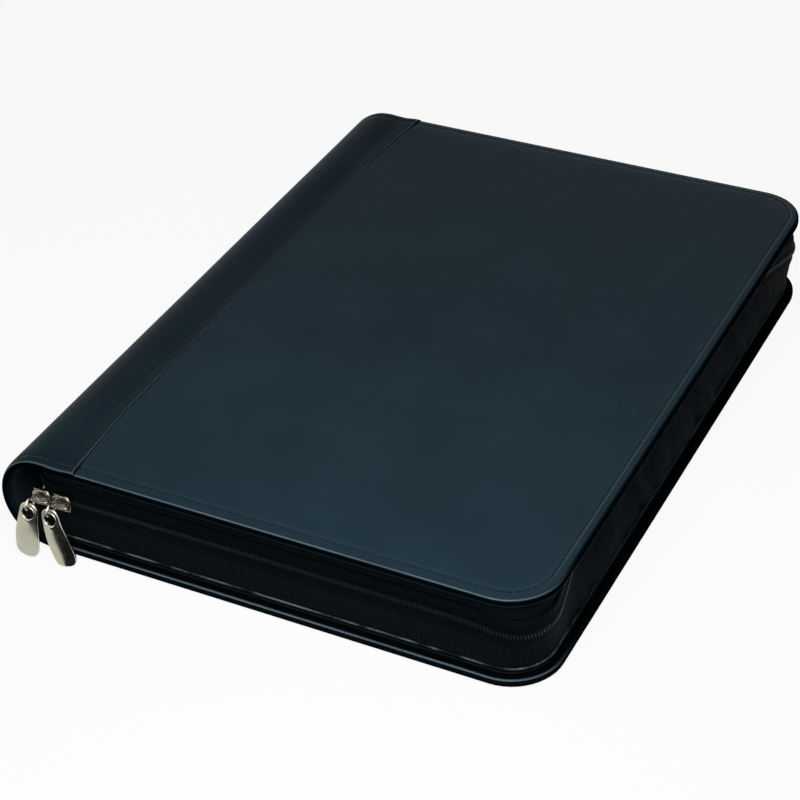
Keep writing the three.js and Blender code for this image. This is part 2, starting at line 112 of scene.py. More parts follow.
class BinderLeather(bpy.types.PropertyGroup):
    colour: FloatVectorProperty(
        name="Leather", description="Colour of the dyed hide", subtype="COLOR", size=3,
        default=linear("#192932")[:3], min=0, max=1)
    grain: FloatProperty(
        name="Grain", description="Width of one grain cell, in millimetres",
        default=0.8, min=0.2, max=4)
    crown: FloatProperty(
        name="Crown", description="Rise of the padding, in millimetres",
        default=1.1, min=0, max=4)
    stitch_pitch: FloatProperty(
        name="Stitch pitch", description="From one stitch to the next, in millimetres",
        default=3.6, min=1, max=8)
    stitch_inset: FloatProperty(
        name="Stitch inset", description="From the edge to the seam, in millimetres",
        default=4.8, min=2, max=12)


class BinderZip(bpy.types.PropertyGroup):
    tooth_pitch: FloatProperty(
        name="Coil pitch", description="From one turn of the coil to the next, in millimetres",
        default=1.5, min=0.8, max=4)
    weave: FloatProperty(
        name="Weave", description="Width of one yarn of the nylon, in millimetres",
        default=0.7, min=0.2, max=2)
    fold: FloatProperty(
        name="Fold", description="How far the gusset folds in at the fore edge, in millimetres",
        default=7.5, min=0, max=12)


class BinderMetal(bpy.types.PropertyGroup):
    bow: FloatProperty(
        name="Bow", description="Rise of a pull across its width, in millimetres",
        default=1.1, min=0, max=3)
    polish: FloatProperty(
        name="Polish", description="Roughness of the satin nickel",
        default=0.24, min=0.05, max=0.6)


# Meshes


def lattice(rows, columns, close_rows=False, close_columns=False):
    """Quads over a grid of points that is stored row by row."""
    faces = []
    for row in range(rows if close_rows else rows - 1):
        ahead = (row + 1) % rows
        for column in range(columns if close_columns else columns - 1):
            beside = (column + 1) % columns
            faces.append((row * columns + column, row * columns + beside,
                          ahead * columns + beside, ahead * columns + column))
    return faces


def capped(rings, sides):
    """Quads round a tube of rings, and a face over each of its ends."""
    faces = lattice(rings, sides, close_columns=True)
    faces.append(tuple(range(sides)))
    faces.append(tuple((rings - 1) * sides + side for side in range(sides)))
    return faces


def circle(sides):
    """The cosine and sine of even steps round a circle."""
    angles = [2 * math.pi * side / sides for side in range(sides)]
    return [(math.cos(angle), math.sin(angle)) for angle in angles]


def make_piece(name, points, faces, materials, uv=None, polish_and_painted_light=None, face_slots=None):
    """A mesh object from points in millimetres, with its faces turned outwards. Each point may have a
    UV place and its painted light, which also sets polish, and each face the number of its material."""
    mesh = bpy.data.meshes.new(name)
    mesh.from_pydata((np.asarray(points, float) / METRE).tolist(), [], faces)
    for material in materials:
        mesh.materials.append(material)
    if face_slots is not None:
        mesh.polygons.foreach_set("material_index", face_slots)
    if uv is not None:
        layer = mesh.uv_layers.new(name="UVMap")
        corners = np.zeros(len(mesh.loops), int)
        mesh.loops.foreach_get("vertex_index", corners)
        layer.data.foreach_set("uv", (np.asarray(uv, float) / METRE)[corners].ravel())
    if polish_and_painted_light is not None:
        # Painted light per point: a highlight with polish above 0, and painted shade below 0
        attribute = mesh.attributes.new("polish_and_painted_light", "FLOAT", "POINT")
        attribute.data.foreach_set("value", np.asarray(polish_and_painted_light, np.float32))
    mesh.polygons.foreach_set("use_smooth", [True] * len(mesh.polygons))
    shaped = bmesh.new()
    shaped.from_mesh(mesh)
    bmesh.ops.recalc_face_normals(shaped, faces=shaped.faces)
    shaped.to_mesh(mesh)
    shaped.free()
    mesh.update()
    piece = bpy.data.objects.new(name, mesh)
    bpy.context.scene.collection.objects.link(piece)
    return piece


def dress(piece, body, slot, *nodes):
    """Fixes a finished piece to its body and hides the frame's nodes that it stands for."""
    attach(piece, body)
    if nodes:
        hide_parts(*nodes)


class Shell:
    """Several closed forms gathered into one mesh."""

    def __init__(self):
        self.points = []
        self.faces = []
        self.slots = []

    def add(self, points, faces, slot=0):
        start = len(self.points)
        self.points.extend([tuple(point) for point in points])
        self.faces.extend([tuple(start + corner for corner in face) for face in faces])
        self.slots.extend([slot] * len(faces))

    def piece(self, name, materials):
        return make_piece(name, self.points, self.faces, materials, face_slots=self.slots)


def smooth_step(value):
    """Zero below 0 and one above 1, with a soft passage between."""
    clipped = min(max(value, 0), 1)
    return clipped * clipped * (3 - 2 * clipped)


def ripple(x, y, z, size, seed):
    """Soft noise between -1 and 1 at a place, with the given size of wave in millimetres."""
    return noise.noise(Vector((x / size + seed, y / size - seed, z / size + 0.37 * seed)))


# Outlines of the covers. The counts are steps on a straight side, on a corner and on the fore edge.
RING_COUNTS = (46, 12, 56)
LEAST_RADIUS = 2.0


def corner_turn(centre_x, centre_y, radius, first_angle, steps):
    """A quarter turn, as points with outward normals."""
    turn = []
    for step in range(steps):
        angle = first_angle + math.pi / 2 * step / steps
        normal = (math.cos(angle), math.sin(angle))
        turn.append(((centre_x + radius * normal[0], centre_y + radius * normal[1]), normal))
    return turn


def three_sides(first, inset, radius, counts):
    """Points with outward normals round the near side, the fore edge and the far side. They start
    and end at the same X, at an inset from the covers' edge."""
    straight, corner, fore = counts
    edge_x, edge_y = FORE - inset, HALF - inset
    centre_x, centre_y = edge_x - radius, edge_y - radius
    path = [((first + (centre_x - first) * k / straight, -edge_y), (0, -1)) for k in range(straight)]
    path += corner_turn(centre_x, -centre_y, radius, -math.pi / 2, corner)
    path += [((edge_x, -centre_y + 2 * centre_y * k / fore), (1, 0)) for k in range(fore)]
    path += corner_turn(centre_x, centre_y, radius, 0.0, corner)
    path += [((centre_x + (first - centre_x) * k / straight, edge_y), (0, 1)) for k in range(straight + 1)]
    return path


def cover_ring(start, inset):
    """An outline at an inset from the edge, from the near to the far spine end."""
    path = three_sides(start(HALF - inset), inset, max(CORNER - inset, LEAST_RADIUS), RING_COUNTS)
    return [point for point, _ in path]


def cover_faces(rows, count):
    """Faces over rows of outlines. The first and last row are filled across, and the rows' ends at the
    spine are closed by one face."""
    faces = lattice(rows, count)
    straight = RING_COUNTS[0]
    for base in (0, (rows - 1) * count):
        for k in range(straight):
            faces.append((base + k, base + k + 1, base + count - 2 - k, base + count - 1 - k))
        faces.append(tuple(base + k for k in range(straight, count - straight)))
    near = [row * count for row in range(rows)]
    far = [corner + count - 1 for corner in near]
    faces.append(tuple(near + far[::-1]))
    return faces


# The turned and stitched edge, from the underside round to the face: inset, depth under the face, and
# painted light. It is 1 where the edge is polished and carries a painted highlight, and -1 where its side
# is painted black as shade.
TURNED_EDGE = [
    (5.8, 4.0, 0.0), (5.4, 4.7, 0.0), (1.2, 4.8, 0.1), (0.5, 4.78, 0.4), (0.12, 4.45, 1.0),
    (0.0, 4.0, -0.6), (-0.06, 3.1, -1.0), (0.0, 2.2, -1.0), (0.07, 1.5, -0.9), (0.2, 1.15, 0.6),
    (0.4, 0.92, 0.95), (0.7, 0.74, 0.0), (1.5, 0.48, 0.0), (2.4, 0.26, 0.0), (3.2, 0.1, 0.0),
    (3.75, 0.06, 0.3), (4.35, 0.28, 0.0), (4.8, 0.44, 0.0), (5.25, 0.26, 0.0), (5.9, 0.02, 0.05),
    (7.4, -0.22, 0.0), (9.5, -0.38, 0.0), (12.5, -0.5, 0.0),
]
# Its rows: how many lie underneath, the first one on the face, the crests with their painted highlight and
# the lip beside the seam
UNDER_ROWS = 5
FACE_ROW = 8
CREST_ROWS = (9, 10)
LIP_ROW = 15
# The rows further in, and their depth underneath and on the face
INNER_INSETS = [17, 23, 30, 38, 47, 57, 68, 80, 93, 107, 122, 138, 154, 168]
UNDER_DEPTH = 4.0
FACE_DEPTH = -0.52
# Rows that show on the back cover, and how many of them are painted black all over as shade
BACK_ROWS = range(0, 12)
BACK_SHADED_ROWS = 3
# The crests carry a painted highlight on the near side, up to this far from its edge
HIGHLIGHT_REACH = 40.0
HIGHLIGHT_FADE = 34.0
# Painted shade: the value that darkens a side towards black
PAINTED_SHADE = -0.9
# Patches of the painted highlight
PATCH_SHARE = 0.25
PATCH_SIZE = 26


def patchy_painted_light(painted_light_level, x, y, z):
    """The painted highlight comes in patches, and the painted shade is even."""
    if painted_light_level <= 0:
        return painted_light_level
    return painted_light_level * (1 - PATCH_SHARE + PATCH_SHARE * ripple(x, y, z, PATCH_SIZE, 11))


def edge_painted_light(painted_light_level, row, side, y):
    """Painted light on a row of the turned edge. The crests get a painted highlight on the near side and
    painted shade on the other sides, where the lip beside the seam gets the highlight instead. The back
    cover shows its edge upside down."""
    # Painted highlight on the crests near the near edge, painted shade on them elsewhere
    near = smooth_step((HIGHLIGHT_REACH - HALF - y) / HIGHLIGHT_FADE)
    crest = painted_light_level * near + PAINTED_SHADE * (1 - near)
    if side < 0:
        if row not in BACK_ROWS:
            return 0.0
        if row < BACK_SHADED_ROWS:
            return -1.0
        return crest if row < UNDER_ROWS else PAINTED_SHADE
    if row < UNDER_ROWS:
        return 0.0
    if row in CREST_ROWS:
        return crest
    # Painted shade on the row below the crests, away from the near edge
    if row == CREST_ROWS[-1] + 1:
        return -0.8 * (1 - near)
    if row == LIP_ROW:
        return painted_light_level * (1 - near)
    return painted_light_level


# Unevenness of the padding
SWELL_HEIGHT, SWELL_SIZE = 0.2, 80
DIMPLE_HEIGHT, DIMPLE_SIZE = 0.04, 16


def padding(x, y, inset, crown):
    """Height of the front panel's padding at a place: a crown, a wide swell and small dimples."""
    across = (x - SEAM) / (FORE - SEAM)
    rise = (1 - abs(2 * across - 1) ** 3.2) * (1 - abs(y / HALF) ** 4)
    swell = SWELL_HEIGHT * ripple(x, y, 0, SWELL_SIZE, 3) * smooth_step((inset - 6) / 20)
    dimples = DIMPLE_HEIGHT * ripple(x, y, 0, DIMPLE_SIZE, 5) * smooth_step((inset - 5) / 8)
    return crown * max(rise, 0) + swell + dimples


def cover_skin(name, start, face, side, crown, material):
    """A leather skin over one cover. Side is 1 for the front cover and -1 for the back one."""
    rows = [(inset, UNDER_DEPTH, 0.0) for inset in reversed(INNER_INSETS)]
    rows += TURNED_EDGE
    rows += [(inset, FACE_DEPTH, 0.0) for inset in INNER_INSETS]
    points, uv, polish_and_painted_light = [], [], []
    for number, (inset, depth, painted_light_level) in enumerate(rows):
        row = number - len(INNER_INSETS)
        padded = row >= FACE_ROW and side > 0
        if side < 0:
            depth = max(depth, 0.0)
        for x, y in cover_ring(start, inset):
            lift = padding(x, y, inset, crown) if padded else 0.0
            points.append((x, y, face + side * (lift - depth)))
            uv.append((x, y))
            # Painted light: a highlight on the crests and shade on the sides
            polish_and_painted_light.append(patchy_painted_light(edge_painted_light(painted_light_level, row, side, y), x, y, 0))
    faces = cover_faces(len(rows), len(points) // len(rows))
    return make_piece(name, points, faces, [material], uv=uv, polish_and_painted_light=polish_and_painted_light)


# Stitches

STITCH_DEPTH = 0.34
STITCH_SIDES = 6
# Rings of a stitch: place in its length, width and lift as shares of its radius
STITCH_RINGS = [
    (-0.5, 0.25, -0.35), (-0.42, 0.8, 0.0), (-0.15, 1.0, 0.28),
    (0.15, 1.0, 0.28), (0.42, 0.8, 0.0), (0.5, 0.25, -0.35),
]


def stitch_row(places, pitch, material, name, length=2.5, radius=0.3):
    """Thread stitches along a line of places: each is a point, a direction and an outward normal."""
    shell = Shell()
    lines = np.array(places, float).transpose(1, 0, 2)
    steps = np.linalg.norm(np.diff(lines[0], axis=0), axis=1)
    run = np.concatenate([[0], np.cumsum(steps)])
    count = max(int(run[-1] / pitch), 1)
    faces = capped(len(STITCH_RINGS), STITCH_SIDES)
    for number in range(count):
        where = (number + 0.5) * run[-1] / count
        centre, along, normal = (np.array([np.interp(where, run, line[:, axis]) for axis in range(3)])
                                 for line in lines)
        along /= np.linalg.norm(along)
        normal /= np.linalg.norm(normal)
        across = np.cross(along, normal)
        made = []
        for reach, swell, lift in STITCH_RINGS:
            middle = centre + along * (reach * length) + normal * (lift * radius)
            for cosine, sine in circle(STITCH_SIDES):
                made.append(middle + radius * swell * (cosine * across + sine * normal))
        shell.add(made, faces)
    return shell.piece(name, [material])


def cover_stitches(name, start, face, side, inset, pitch, material):
    """The seam that goes round a cover, a little under its face."""
    ring = cover_ring(start, inset)
    places = []
    for number, (x, y) in enumerate(ring):
        before = ring[max(number - 1, 0)]
        after = ring[min(number + 1, len(ring) - 1)]
        along = (after[0] - before[0], after[1] - before[1], 0)
        places.append(((x, y, face - side * STITCH_DEPTH), along, (0, 0, side)))
    return stitch_row(places, pitch, material, name)


# The spine's curve in X and Z, outer face, from the seam over the top and round to the back cover
SPINE_REACH = 1.2 * (joint_place("cover_open").x - SPINE)
SPINE_STEP = 15
STRIP_PLACES = [(3.0, 0.1), (0.0, 0.1), (-2.6, 0.04), (-6.4, -0.5), (-10.5, -0.34)]
UNDER_PLACES = [(6, 0.06), (12, 0.05), (20, 0.05)]


def spine_controls():
    """Points that the spine's outer face passes: over the seam, round half an oval, and under."""
    middle = THICK / 2
    oval_x = SPINE + SPINE_REACH
    points = [(SEAM + dx, THICK + dz) for dx, dz in STRIP_PLACES]
    for degrees in range(0, 181, SPINE_STEP):
        angle = math.radians(degrees)
        points.append((oval_x - SPINE_REACH * math.sin(angle), middle + (middle - 0.12) * math.cos(angle)))
    points += [(oval_x + dx, z) for dx, z in UNDER_PLACES]
    return np.array(points, float)


def spine_place(degrees):
    """Where an angle of the oval lies along the spine's curve, counted in points."""
    return len(STRIP_PLACES) + degrees / SPINE_STEP


def curve_at(points, place):
    """A point and a direction on a smooth curve through points, at a place counted in points."""
    index = int(min(max(math.floor(place), 1), len(points) - 3))
    t = place - index
    a, b, c, d = points[index - 1:index + 3]
    square = 2 * a - 5 * b + 4 * c - d
    cube = 3 * b - a - 3 * c + d
    value = 0.5 * (2 * b + (c - a) * t + square * t ** 2 + cube * t ** 3)
    slope = 0.5 * ((c - a) + 2 * square * t + 3 * cube * t ** 2)
    return value, slope / np.linalg.norm(slope)


SPINE_SKIN = 3.6
# The spine leather's ends. Each point is an inset from the end, a depth under the face and painted light,
# highlight above 0 and shade below: first round the turned end, from the inside, and then over the sewn face.
SPINE_TURNED = [
    (5.6, SPINE_SKIN - 0.5, 0), (5.2, SPINE_SKIN, 0), (1.1, SPINE_SKIN, -0.5),
    (0.4, SPINE_SKIN - 0.05, -0.8), (0.08, SPINE_SKIN - 0.4, -1.0), (0.0, SPINE_SKIN - 0.9, -1.0),
    (0.0, 2.0, -1.0), (0.07, 1.4, -0.9), (0.2, 1.05, 0.75), (0.4, 0.82, 0.75),
]
SPINE_SEWN = [
    (0.7, 0.64, 0.1), (1.5, 0.4, 0), (2.4, 0.2, 0), (3.2, 0.06, 0), (3.75, 0.04, 0.1),
    (4.35, 0.24, 0), (4.8, 0.42, 0), (5.25, 0.24, 0), (6.0, 0.02, 0), (9, 0, 0),
]
SPINE_PLAIN_INSET = SPINE_SEWN[-1][0]
SPINE_PLAIN_STEPS = 40


def spine_section():
    """A loop of (y, depth, painted light) round the leather: outer face, turned ends and inner face."""
    reach = HALF - SPINE_PLAIN_INSET
    middle = [reach - 2 * reach * k / SPINE_PLAIN_STEPS for k in range(1, SPINE_PLAIN_STEPS)]
    ends = SPINE_TURNED + SPINE_SEWN
    loop = [(inset - HALF, depth, polish_and_painted_light) for inset, depth, polish_and_painted_light in ends]
    loop += [(-y, 0.0, 0) for y in middle]
    loop += [(HALF - inset, depth, polish_and_painted_light) for inset, depth, polish_and_painted_light in reversed(ends)]
    loop += [(y, SPINE_SKIN - 0.5, 0) for y in middle]
    return loop


def spine_frame(controls, place):
    """A place on the spine's curve: point, direction and outward normal in X and Z."""
    (x, z), (tx, tz) = curve_at(controls, place)
    heart = (SPINE + 30, THICK / 2)
    outward = (z - heart[1]) * tx > (x - heart[0]) * tz
    return (x, z), (tx, tz), (-tz, tx) if outward else (tz, -tx)


SEAM_LEAN = 3.0
SEAM_LEAN_REACH = 50.0


def seam_lean(y):
    """How far the seam swings out towards both ends of the spine."""
    return SEAM_LEAN * smooth_step((abs(y) - (HALF - SEAM_LEAN_REACH)) / SEAM_LEAN_REACH)


# The strip is thicker over this much of each end
STRIP_END = 8.0
STRIP_END_FADE = 2.5
STRIP_SWELL = 0.28
STRIP_THINNEST = 0.2


def strip_shape(place, y, depth):
    """Over the seam the leather thins towards the panel, and its end leans out at both edges. Gives
    the depth there and the lean."""
    away = smooth_step((place - 1.0) / 2.2)
    edge = smooth_step((abs(y) - (HALF - STRIP_END)) / STRIP_END_FADE)
    reach = STRIP_THINNEST + (1 - STRIP_THINNEST) * max(away, edge)
    thicker = 1 + STRIP_SWELL * edge * (1 - smooth_step((place - 4.0) / 3))
    lean = seam_lean(y) * (1 - smooth_step((place - 1) / 3))
    return depth * reach * thicker, lean


# Places along the spine's curve, near the seam: where the painted shade ends, the crest with its painted
# highlight and its reach to either side, and where the rolled end is over
SEAM_SHADE_PLACE = 1.28
CREST_PLACE = 1.38
CREST_REACH = 0.1
CREST_HIGHLIGHT = 0.8
SEAM_PLACE = 1.7
SEAM_ROLL = 0.85
BULGE_HEIGHT, BULGE_SIZE = 0.1, 46
# Length of one place along the curve, for the UV map
PLACE_LENGTH = 6.3


def seam_painted_light(painted_light_level, place):
    """Along the seam the strip's end is painted black as shade, and the crest beside it gets a painted
    highlight.
    """
    if painted_light_level < 0 or place < SEAM_SHADE_PLACE:
        return min(painted_light_level, PAINTED_SHADE)
    return max(painted_light_level, CREST_HIGHLIGHT * (1 - abs(place - CREST_PLACE) / CREST_REACH))


def spine_band(name, first, last, steps, loop, material):
    """A band of leather or cloth swept along part of the spine's curve, from one place to another."""
    controls = spine_controls()
    points, uv, polish_and_painted_light = [], [], []
    for step in range(steps + 1):
        place = first + (last - first) * (step / steps) ** 1.5
        (x, z), _, normal = spine_frame(controls, place)
        for y, depth, painted_light_level in loop:
            inward, lean = strip_shape(place, y, depth)
            if abs(depth) < 0.1:
                inward -= BULGE_HEIGHT * ripple(x, y, z, BULGE_SIZE, 9)
            if place < SEAM_PLACE and depth < 1:
                inward += SEAM_ROLL * smooth_step((1.3 - place) / 0.3)
                # Painted shade on the strip's end at the seam, and a painted highlight on the crest beside it
                painted_light_level = seam_painted_light(painted_light_level, place)
            points.append((x + lean - normal[0] * inward, y, z - normal[1] * inward))
            uv.append((place * PLACE_LENGTH, y))
            polish_and_painted_light.append(patchy_painted_light(painted_light_level, x, y, z))
    around = len(loop)
    faces = lattice(steps + 1, around, close_columns=True)
    for row in (points[:around], points[-around:]):
        faces.append(tuple(range(len(points), len(points) + around)))
        points += row
        uv += [(0.0, 0.0)] * around
        polish_and_painted_light += [0.0] * around
    return make_piece(name, points, faces, [material], uv=uv, polish_and_painted_light=polish_and_painted_light)


def spine_stitch_places(first, last, steps, y):
    """Places of a seam that runs along part of the spine's curve."""
    controls = spine_controls()
    places = []
    for step in range(steps + 1):
        place = first + (last - first) * step / steps
        (x, z), (tx, tz), normal = spine_frame(controls, place)
        _, lean = strip_shape(place, y, 0)
        outward = np.array((normal[0], 0, normal[1]))
        places.append((np.array((x + lean, y, z)) - outward * STITCH_DEPTH, (tx, 0, tz), outward))
    return places


# The three stretches of the spine that bend, by their ends in degrees round the oval
SPINE_STRETCHES = {"spine_fold_top": (None, 50), "spine_fold_middle": (50, 130), "cover_open": (130, None)}


def fold_blend(piece):
    """Bakes a piece's placement into its mesh."""
    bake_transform(piece)


def stretch_places(joint):
    """The first and last place of a stretch along the spine's curve."""
    first, last = SPINE_STRETCHES[joint]
    start = 1.0 if first is None else spine_place(first)
    end = spine_place(180) + 1.35 if last is None else spine_place(last)
    return start, end


# Walls that go round three sides. They start a little inside the spine, where they are tucked in, and
# bulge at the corners.
WALL_LEAD = 9.0
WALL_TUCK = 12.0
WALL_TUCK_LENGTH = 14.0
WALL_START = span("lower_gusset")[0].x - WALL_LEAD
WALL_TURNS = 16
CORNER_BULGE = 2.2
CORNER_HEART = 7.0
CORNER_FADE = 17.0
# Distance over which the fold near the zip dies out, and over which it starts along the fore edge
ZIP_FADE = 12.0
FORE_FADE = 50.0
FORE_REST = 20.0


def wall_stations(start, step=3.0):
    """Places round the near side, fore edge and far side: point, outward normal, run and fold."""
    straight = int((FORE - CORNER - start) / step)
    fore = int(2 * (HALF - CORNER) / step)
    placed, run, before = [], 0.0, None
    for point, normal in three_sides(start, 0.0, CORNER, (straight, WALL_TURNS, fore)):
        run += math.dist(point, before or point)
        before = point
        on_fore = smooth_step((point[0] - (FORE - CORNER * 0.9)) / (CORNER * 0.9))
        mid = smooth_step((HALF - FORE_REST - abs(point[1])) / FORE_FADE)
        placed.append((point, normal, run, on_fore * mid))
    return placed


def corner_nearness(point):
    """One at the middle of a rounded corner, falling to nothing about 35 mm away."""
    away = math.hypot(point[0] - (FORE - CORNER_HEART), abs(point[1]) - (HALF - CORNER_HEART))
    return math.exp(-((away / CORNER_FADE) ** 2))


SPINE_INSIDE = 5.2


def spine_inside(z):
    """How far towards the spine a wall may reach at a height, in X."""
    middle = THICK / 2
    share = min(abs(z - middle) / (middle - SPINE_INSIDE), 1.0)
    return SPINE + SPINE_REACH - (SPINE_REACH - SPINE_INSIDE) * math.sqrt(1 - share * share)


def wall_point(station, inset, z, fold):
    """A point on the gusset at an inset from the covers' edge. It tucks in at the spine, stands
    out at the corners and is drawn in along the fore edge."""
    (x, y), (nx, ny), _, weight = station
    near_zip = math.exp(-(((z - ZIP_Z) / ZIP_FADE) ** 2))
    drawn = fold * weight * near_zip
    inward = inset - CORNER_BULGE * corner_nearness((x, y)) * near_zip
    if abs(ny) > 0.9:
        inward += WALL_TUCK * (1 - smooth_step((x - WALL_START) / WALL_TUCK_LENGTH))
        x = max(x, spine_inside(z))
    return (x - nx * inward - drawn, y - ny * inward, z)


# Creases of the slack cloth: share of the slack and size, for wide, narrow and upright ones. The last
# are found along the fore edge.
WIDE_CREASE = (0.6, 18)
NARROW_CREASE = (0.4, 7)
UPRIGHT_CREASE = (1.1, 9)
FORE_SLACK = 1.2


def slack_ripple(station, z, low, high, slack, seed):
    """How far slack cloth stands out at a height, between the two heights that hold it."""
    run, weight = station[2:]
    free = 1 - abs(2 * (z - low) / (high - low) - 1) ** 3
    wide = WIDE_CREASE[0] * ripple(run, z * 0.7, 0, WIDE_CREASE[1], seed)
    narrow = NARROW_CREASE[0] * ripple(run, z * 0.9, 0, NARROW_CREASE[1], seed + 4)
    upright = UPRIGHT_CREASE[0] * ripple(run + 0.7 * z, z * 0.12, 0, UPRIGHT_CREASE[1], seed + 9)
    return slack * free * (1 + FORE_SLACK * weight) * (wide + narrow + weight * upright)


def wall_sweep(name, start, section, fold, material, crumple=0.0, seed=1.0, lift=None):
    """A closed section of (inset, z) carried round the wall."""
    stations = wall_stations(start)
    points, uv = [], []
    lengths = [0.0]
    for before, after in zip(section, section[1:]):
        lengths.append(lengths[-1] + math.dist(before, after))
    heights = [z for _, z in section]
    low, high = min(heights), max(heights)
    for station in stations:
        rise = lift(station) if lift else 0.0
        for (inset, z), along in zip(section, lengths):
            out = slack_ripple(station, z, low, high, crumple, seed) if crumple else 0.0
            points.append(wall_point(station, inset - out, z + rise, fold))
            uv.append((station[2], along))
    return make_piece(name, points, capped(len(stations), len(section)), [material], uv=uv)


def closed_sheet(outer, thickness):
    """A closed section from an outer line of (inset, z) and its thickness."""
    return outer + [(inset + thickness, z) for inset, z in reversed(outer)]


# How far the zip climbs along a side, dips at a corner and climbs on the fore edge
SIDE_CLIMB = 0.6
SIDE_CLIMB_FROM = ZIP_START + 30
SIDE_CLIMB_LENGTH = 60
CORNER_DIP = 2.0
FORE_CLIMB = 1.5


def zip_rise(station):
    """The zip climbs a little along a side and dips where it rounds a corner."""
    point, weight = station[0], station[3]
    along = smooth_step((point[0] - SIDE_CLIMB_FROM) / SIDE_CLIMB_LENGTH)
    return SIDE_CLIMB * along - CORNER_DIP * corner_nearness(point) + FORE_CLIMB * weight


TOOTH_INSET = 2.5
TOOTH_REACH = 1.05
TOOTH_SHIFT = 0.12
TOOTH_SIDES = 6
TOOTH_WIDE = 0.24
TOOTH_DEEP = 0.62
# Rings of a tooth: place across the zip, and shares of its width and depth
TOOTH_RINGS = [
    (-1.2, 0.45, 0.4), (-0.95, 0.8, 0.8), (-0.3, 0.9, 1.0),
    (0.25, 1.0, 1.0), (0.5, 0.8, 0.7), (0.65, 0.3, 0.3),
]
# The teeth of the two halves stand in each other's gaps
TOOTH_PHASE = {1: 0.35, -1: 0.65}


def zip_teeth(name, start, side, pitch, fold, material):
    """One half of the coil: the turns that show, each a short bar across the zip."""
    shell = Shell()
    stations = wall_stations(start, 1.5)
    runs = np.array([station[2] for station in stations])
    faces = capped(len(TOOTH_RINGS), TOOTH_SIDES)
    for number in range(int(runs[-1] / pitch)):
        run = (number + TOOTH_PHASE[side]) * pitch
        at = min(max(int(np.searchsorted(runs, run)), 1), len(stations) - 1)
        share = (run - runs[at - 1]) / (runs[at] - runs[at - 1])
        low, high = (np.array(wall_point(station, TOOTH_INSET, ZIP_Z, fold))
                     for station in stations[at - 1:at + 1])
        centre = (1 - share) * low + share * high
        centre[2] += zip_rise(stations[at])
        normal = np.array((*stations[at][1], 0.0))
        along = np.cross((0, 0, 1), normal)
        made = []
        for reach, wide, deep in TOOTH_RINGS:
            middle = centre + np.array((0, 0, side * (TOOTH_SHIFT - reach * TOOTH_REACH)))
            for cosine, sine in circle(TOOTH_SIDES):
                made.append(middle + along * TOOTH_WIDE * wide * cosine + normal * TOOTH_DEEP * deep * sine)
        shell.add(made, faces)
    return shell.piece(name, [material])


# Metal


def rounded_plate(outline, levels, roll, place, facing=1, cup=0.0):
    """A flat outline in X and Z at a place, made thick between two levels, with rolled edges. Facing is
    1 where the levels run to the far side, and -1 to the near side. Cup bends it across its width."""
    middle = np.mean(np.array(outline), axis=0)
    low, high = levels
    rings = [(1.0, low), (0.4, low + 0.15 * roll), (0.0, low + roll),
             (0.0, high - roll), (0.4, high - 0.15 * roll), (1.0, high)]
    points = []
    for inset, level in rings:
        for point in outline:
            offset = np.array(point) - middle
            a, b = middle + offset * (1 - inset * roll / np.linalg.norm(offset))
            points.append((place[0] + a, place[1] + facing * level + cup * abs(b), place[2] + b))
    return points, capped(len(rings), len(outline))


def tube(path, radius, sides=12, closed=False, flatten=1.0, up=(0, 0, 1)):
    """A round wire along a path of points. Flatten thins it along the up direction."""
    path = np.array(path, float)
    count = len(path)
    points = []
    for number in range(count):
        before = path[(number - 1) % count] if closed or number else path[0]
        after = path[(number + 1) % count] if closed or number < count - 1 else path[-1]
        along = (after - before) / np.linalg.norm(after - before)
        across = np.cross(along, up)
        across /= np.linalg.norm(across)
        rise = np.cross(across, along)
        for cosine, sine in circle(sides):
            points.append(path[number] + radius * (cosine * across + flatten * sine * rise))
    if closed:
        return points, lattice(count, sides, close_rows=True, close_columns=True)
    return points, capped(count, sides)


SLIDER_STEPS = 28
SLIDER_ROUNDNESS = 0.62
SLIDER_TAPER = 0.12


def slider_outline(half_length, half_width):
    """A slider's plate: broad shoulders and a slightly narrower tail."""
    outline = []
    for cosine, sine in circle(SLIDER_STEPS):
        across = abs(cosine) ** SLIDER_ROUNDNESS * math.copysign(1, cosine)
        height = abs(sine) ** SLIDER_ROUNDNESS * math.copysign(1, sine)
        taper = 1 - SLIDER_TAPER * (across < 0) * abs(across)
        outline.append((half_length * across, half_width * height * taper))
    return outline


def oblong(half_length, low, high):
    """A rectangle's corners."""
    return [(-half_length, low), (half_length, low), (half_length, high), (-half_length, high)]


# A slider's plates: shares of its half length and half width, levels from their own plane, and the
# roll of their edges
SLIDER_FACE = (1.0, 1.0, (-1.15, 0.1), 0.5)
SLIDER_RAISED = (0.9, 0.34, (0.0, 0.15), 0.1)
SLIDER_INNER = (0.7, 0.5, (0.0, 1.0), 0.35)
FACE_CUP = 0.09
BRIDGE_STANDS_OFF = 2.9
# The flanges' length, outer and inner width as shares, and where they stand behind the plate
FLANGE_SHARES = (0.8, 0.98, 0.8)
FLANGE_BEHIND = 0.8
FLANGE_DEEP = 1.1
FLANGE_ROLL = 0.12
NECK_HALF_LENGTH = 1.9
NECK_HALF_WIDTH = 0.34
NECK_BEHIND = 0.4
NECK_SHORT_OF = 0.9
NECK_ROLL = 0.05
STRAP_SHARE = 0.87
STRAP_RADIUS = 0.5
STRAP_STEPS = 24
STRAP_SQUARENESS = 0.4


